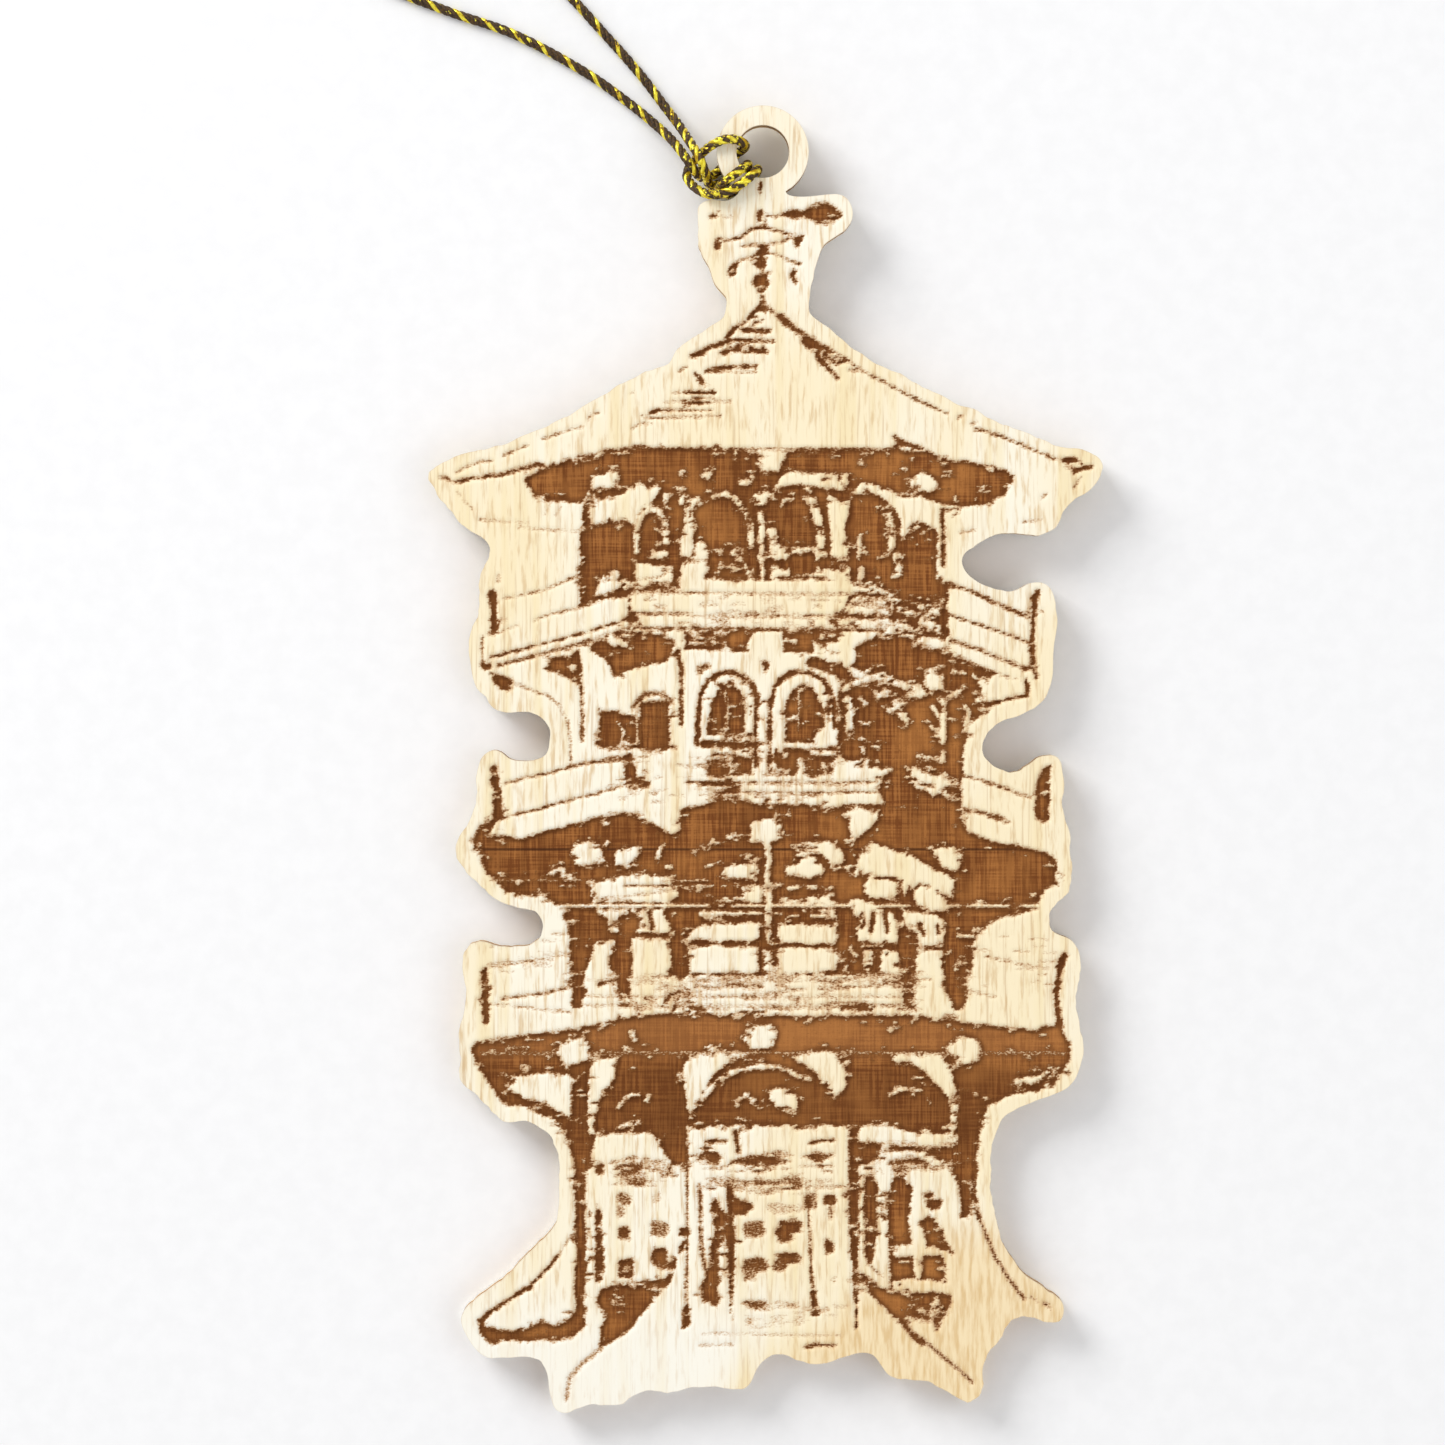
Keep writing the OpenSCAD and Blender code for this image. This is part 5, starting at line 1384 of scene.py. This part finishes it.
RIGHT_STRAND = [
    (-4.75, 50.2, 1), (-5, 50.3, 2), (-5.15, 50.7, 3.1), (-5.45, 51.5, 4.2), (-5.9, 52.6, 4.5),
    (-6.6, 53.8, 3.5), (-7.5, 55.3, 1.9), (-8.8, 57.1, 0.8), (-11, 60, ON_FLOOR),
    (-14, 63.4, ON_FLOOR), (-18.5, 68.2, ON_FLOOR), (-24.5, 73.5, ON_FLOOR), (-31.5, 78, ON_FLOOR),
    (-39, 81.5, ON_FLOOR), (-45, 84.6, 0.7), (-48.55, 87.25, 1.3), (-49.65, 88.35, 1.3)
]
ROUTE = LEFT_STRAND + FIRST_PASS + BIGHT + SECOND_PASS + THIRD_PASS + RIGHT_STRAND

# The two loose ends, measured from the place where they leave the knot
TAILS = [
    [(-0.35, -0.35, 1.3), (-0.85, 0.15, 1.3), (-2.2, 0.9, 0.6), (-4.6, 1.8, ON_FLOOR)],
    [(0.35, 0.35, 1.3), (-0.15, 0.85, 1.3), (-0.9, 2.3, 0.6), (-1.5, 4.4, ON_FLOOR)]
]


def sweep(points, radius, sides, points_out, faces_out):
    """Adds a closed round tube along the points, and says how many points it took."""
    points = np.asarray(points)
    ahead = np.gradient(points, axis=0)
    ahead /= np.linalg.norm(ahead, axis=1)[:, None]
    side = np.array([0.0, 0.0, 1.0])
    first = len(points_out)
    for p, t in zip(points, ahead):
        side = side - t * side.dot(t)
        side /= np.linalg.norm(side)
        up = np.cross(t, side)
        for k in range(sides):
            a = 2 * math.pi * k / sides
            points_out.append(p + radius * (math.cos(a) * side + math.sin(a) * up))
    for i in range(len(points) - 1):
        for k in range(sides):
            j = (k + 1) % sides
            a = first + i * sides
            b = a + sides
            faces_out.append((a + k, a + j, b + j, b + k))
    faces_out.append(tuple(range(first + sides - 1, first - 1, -1)))
    last = first + (len(points) - 1) * sides
    faces_out.append(tuple(range(last, last + sides)))
    return len(points) * sides


def strand_lines(route):
    """The centre lines of the strands twisted together along a route."""
    offset = CORD_D / 2 - STRAND_R
    ahead = np.gradient(route, axis=0)
    steps = np.linalg.norm(np.diff(route, axis=0), axis=1)
    ahead /= np.linalg.norm(ahead, axis=1)[:, None]
    travelled = np.concatenate([[0], np.cumsum(steps)])
    side = np.array([0.0, 0.0, 1.0])
    sides = []
    for t in ahead:
        side = side - t * side.dot(t)
        side /= np.linalg.norm(side)
        sides.append(side)
    sides = np.array(sides)
    ups = np.cross(ahead, sides)
    lines = []
    for s in range(STRANDS):
        turn = 2 * math.pi * (travelled / LAY_LENGTH + s / STRANDS)
        lines.append(route + offset * (np.cos(turn)[:, None] * sides + np.sin(turn)[:, None] * ups))
    return lines


def twisted(routes):
    """Strands twisted along each route, with how much foil each one carries."""
    points = []
    faces = []
    foil = []
    for route in routes:
        for s, line in enumerate(strand_lines(route)):
            count = sweep(line, STRAND_R, STRAND_SIDES, points, faces)
            foil += [FOIL_STRANDS.get(s, 0.0)] * count
    return points, faces, np.array(foil)


def loop_cord(ring_centre):
    """The loop and its hitch, with painted sheen: more foil colour near the ring, where the cord shines
    brighter.
    """
    points, faces, foil = twisted([spline(ROUTE, RING_STEP)])
    from_ring = np.hypot(*(np.array(points)[:, :2] - ring_centre).T)
    # Painted sheen: extra foil colour near the ring, where the cord shines brighter.
    foil[from_ring < HITCH_REACH] += HITCH_SHEEN
    return mesh_object("hanging_loop", points, faces, foil=foil)


def knot():
    """A small tight knot: cord wound round the two strands that run through it."""
    outward = np.array([math.cos(KNOT_ANGLE), math.sin(KNOT_ANGLE), 0])
    across = np.array([-outward[1], outward[0], 0])
    up = np.array([0, 0, 1.0])
    centre = np.array([*KNOT_AT, KNOT_D / 2])
    wind = KNOT_D / 2 - CORD_D / 2
    turns = 2.4
    margin = 0.02
    path = []
    for t in np.linspace(0, 1, 90):
        angle = 2 * math.pi * turns * t
        tuck = min(1, 6 * t, 6 * (1 - t))
        reach = wind * (0.35 + 0.65 * tuck)
        forward = CORD_D / 2 + (KNOT_LEN - CORD_D) * t
        path.append(centre + outward * forward + reach * (math.cos(angle) * across + math.sin(angle) * up))
    along = np.linspace(margin, KNOT_LEN - margin, 14)
    core = [np.array([centre + outward * f + across * side for f in along]) for side in (-0.45, 0.45)]
    points, faces, foil = twisted([np.array(path)] + core)
    return mesh_object("loop_knot", points, faces, foil=foil)


def tails(seed):
    """The two cut ends, opening into fine threads at their tips."""
    rng = np.random.default_rng(seed)
    threads = 14
    thread_r = 0.07
    fan = 0.34
    start = np.array([*KNOT_AT, 0.0])
    start[:2] += KNOT_LEN * np.array([math.cos(KNOT_ANGLE), math.sin(KNOT_ANGLE)])
    routes = [spline(start + np.array(p), RING_STEP) for p in TAILS]
    points, faces, foil = twisted([r[:-4] for r in routes])
    foil = foil.tolist()
    for route in routes:
        tip = route[-5]
        way = route[-1] - route[-4]
        way /= np.linalg.norm(way)
        for k in range(threads):
            spread = rng.uniform(-fan, fan, 3)
            spread[2] = abs(spread[2]) * 0.6
            reach = rng.uniform(0.7, 1.1)
            root = tip - 0.3 * way + 0.35 * spread
            line = [root + way * reach * t + spread * t * t for t in np.linspace(0, 1, 6)]
            count = sweep(line, thread_r, 5, points, faces)
            foil += [1.0 if k % 3 == 0 else 0.0] * count
    return mesh_object("loop_tails", points, faces, foil=foil)


# ---------------------------------------------------------------- studio

def make_floor():
    """A large pale sheet with a barely visible tooth."""
    half_width = 1500
    cells = 12
    wide = cells + 1
    xs = np.linspace(-half_width, half_width, wide)
    points = [(x, y, 0) for y in xs for x in xs]
    faces = [(r * wide + c, r * wide + c + 1, (r + 1) * wide + c + 1, (r + 1) * wide + c)
             for r in range(cells) for c in range(cells)]
    floor = mesh_object("floor", points, faces)
    n = Nodes("pale_paper")
    tooth = n.noise(0.5, 0.5, 0.5, detail=3)
    colour = n.mix(n.between(tooth, 0.3, 0.7), srgb(244, 244, 245), srgb(247, 247, 248))
    n.link(colour, n.shader.inputs["Base Color"])
    n.shader.inputs["Roughness"].default_value = 0.9
    n.shader.inputs["Specular IOR Level"].default_value = 0.1
    floor.data.materials.append(n.material)


def add_light(name, place, size, power):
    """A square soft light that shines on the middle of the ornament."""
    data = bpy.data.lights.new(name, "AREA")
    data.size = size * MM
    data.energy = power
    light = bpy.data.objects.new(name, data)
    light.location = Vector(place) * MM
    light.rotation_euler = (-Vector(place)).to_track_quat("-Z", "Y").to_euler()
    bpy.context.collection.objects.link(light)


def make_studio():
    make_floor()
    add_light("window", (-620, 640, 520), size=520, power=7.2)
    add_light("fill", (500, -200, 800), size=700, power=1.4)
    world = bpy.data.worlds.new("studio")
    world.use_nodes = True
    background = world.node_tree.nodes["Background"]
    background.inputs["Color"].default_value = (1, 1, 1, 1)
    background.inputs["Strength"].default_value = 0.62
    scene = bpy.context.scene
    scene.world = world
    scene.view_settings.view_transform = "Standard"


# ---------------------------------------------------------------- assembly

def dress(piece, body, node, material):
    """Gives a piece its material and its place in the frame."""
    piece.data.materials.append(material)
    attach(piece, body)
    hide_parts(node)
    return piece


def make_cord():
    gold = cord_material()
    low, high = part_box("front_veneer")
    ring_centre = ((low.x + high.x) / 2 / MM, high.y / MM - RING_R)
    loop = dress(loop_cord(ring_centre), "cord", "hang_cord", gold)
    knot_piece = dress(knot(), "cord", "end_knot", gold)
    ends = dress(tails(seed=5), "cord", "cord_tails", gold)


def make_wood():
    matrix = tilt_of(frame["record"])
    loops = top_loops("front_veneer")
    flat = [flatten(loop, matrix) for loop in loops]
    outline = rippled(spline(flat[0][:, :2], OUTLINE_STEP, closed=True), seed=8)
    hole = spline(flat[1][:, :2], OUTLINE_STEP, closed=True)
    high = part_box("front_veneer")[1]
    pen = Pen(high.x / MM + 1, high.y / MM + 1, seed=11)
    for draw in DRAWING:
        draw(pen)
    pen.fleck(seed=21, pale=900, dark=650)
    top, middle, low = (flatten(top_loops(node)[0], matrix)[:, 2].mean()
                        for node in ("front_veneer", "core_ply", "back_veneer"))
    front = engraved_layer("front_face", outline, hole, top, middle, matrix, pen, seed=3)
    dress(front, "ornament", "front_veneer", face_material())
    core = layer("middle_layer", outline, hole, middle, low, matrix, seed=4)
    toasted = ply_material("toasted_core", srgb(190, 150, 105), srgb(150, 108, 70))
    dress(core, "ornament", "core_ply", toasted)
    back = layer("back_face", outline, hole, low, 0, matrix, seed=6)
    dress(back, "ornament", "back_veneer", back_material())


make_camera(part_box("front_veneer")[1].z / MM)
make_cord()
make_wood()
make_studio()
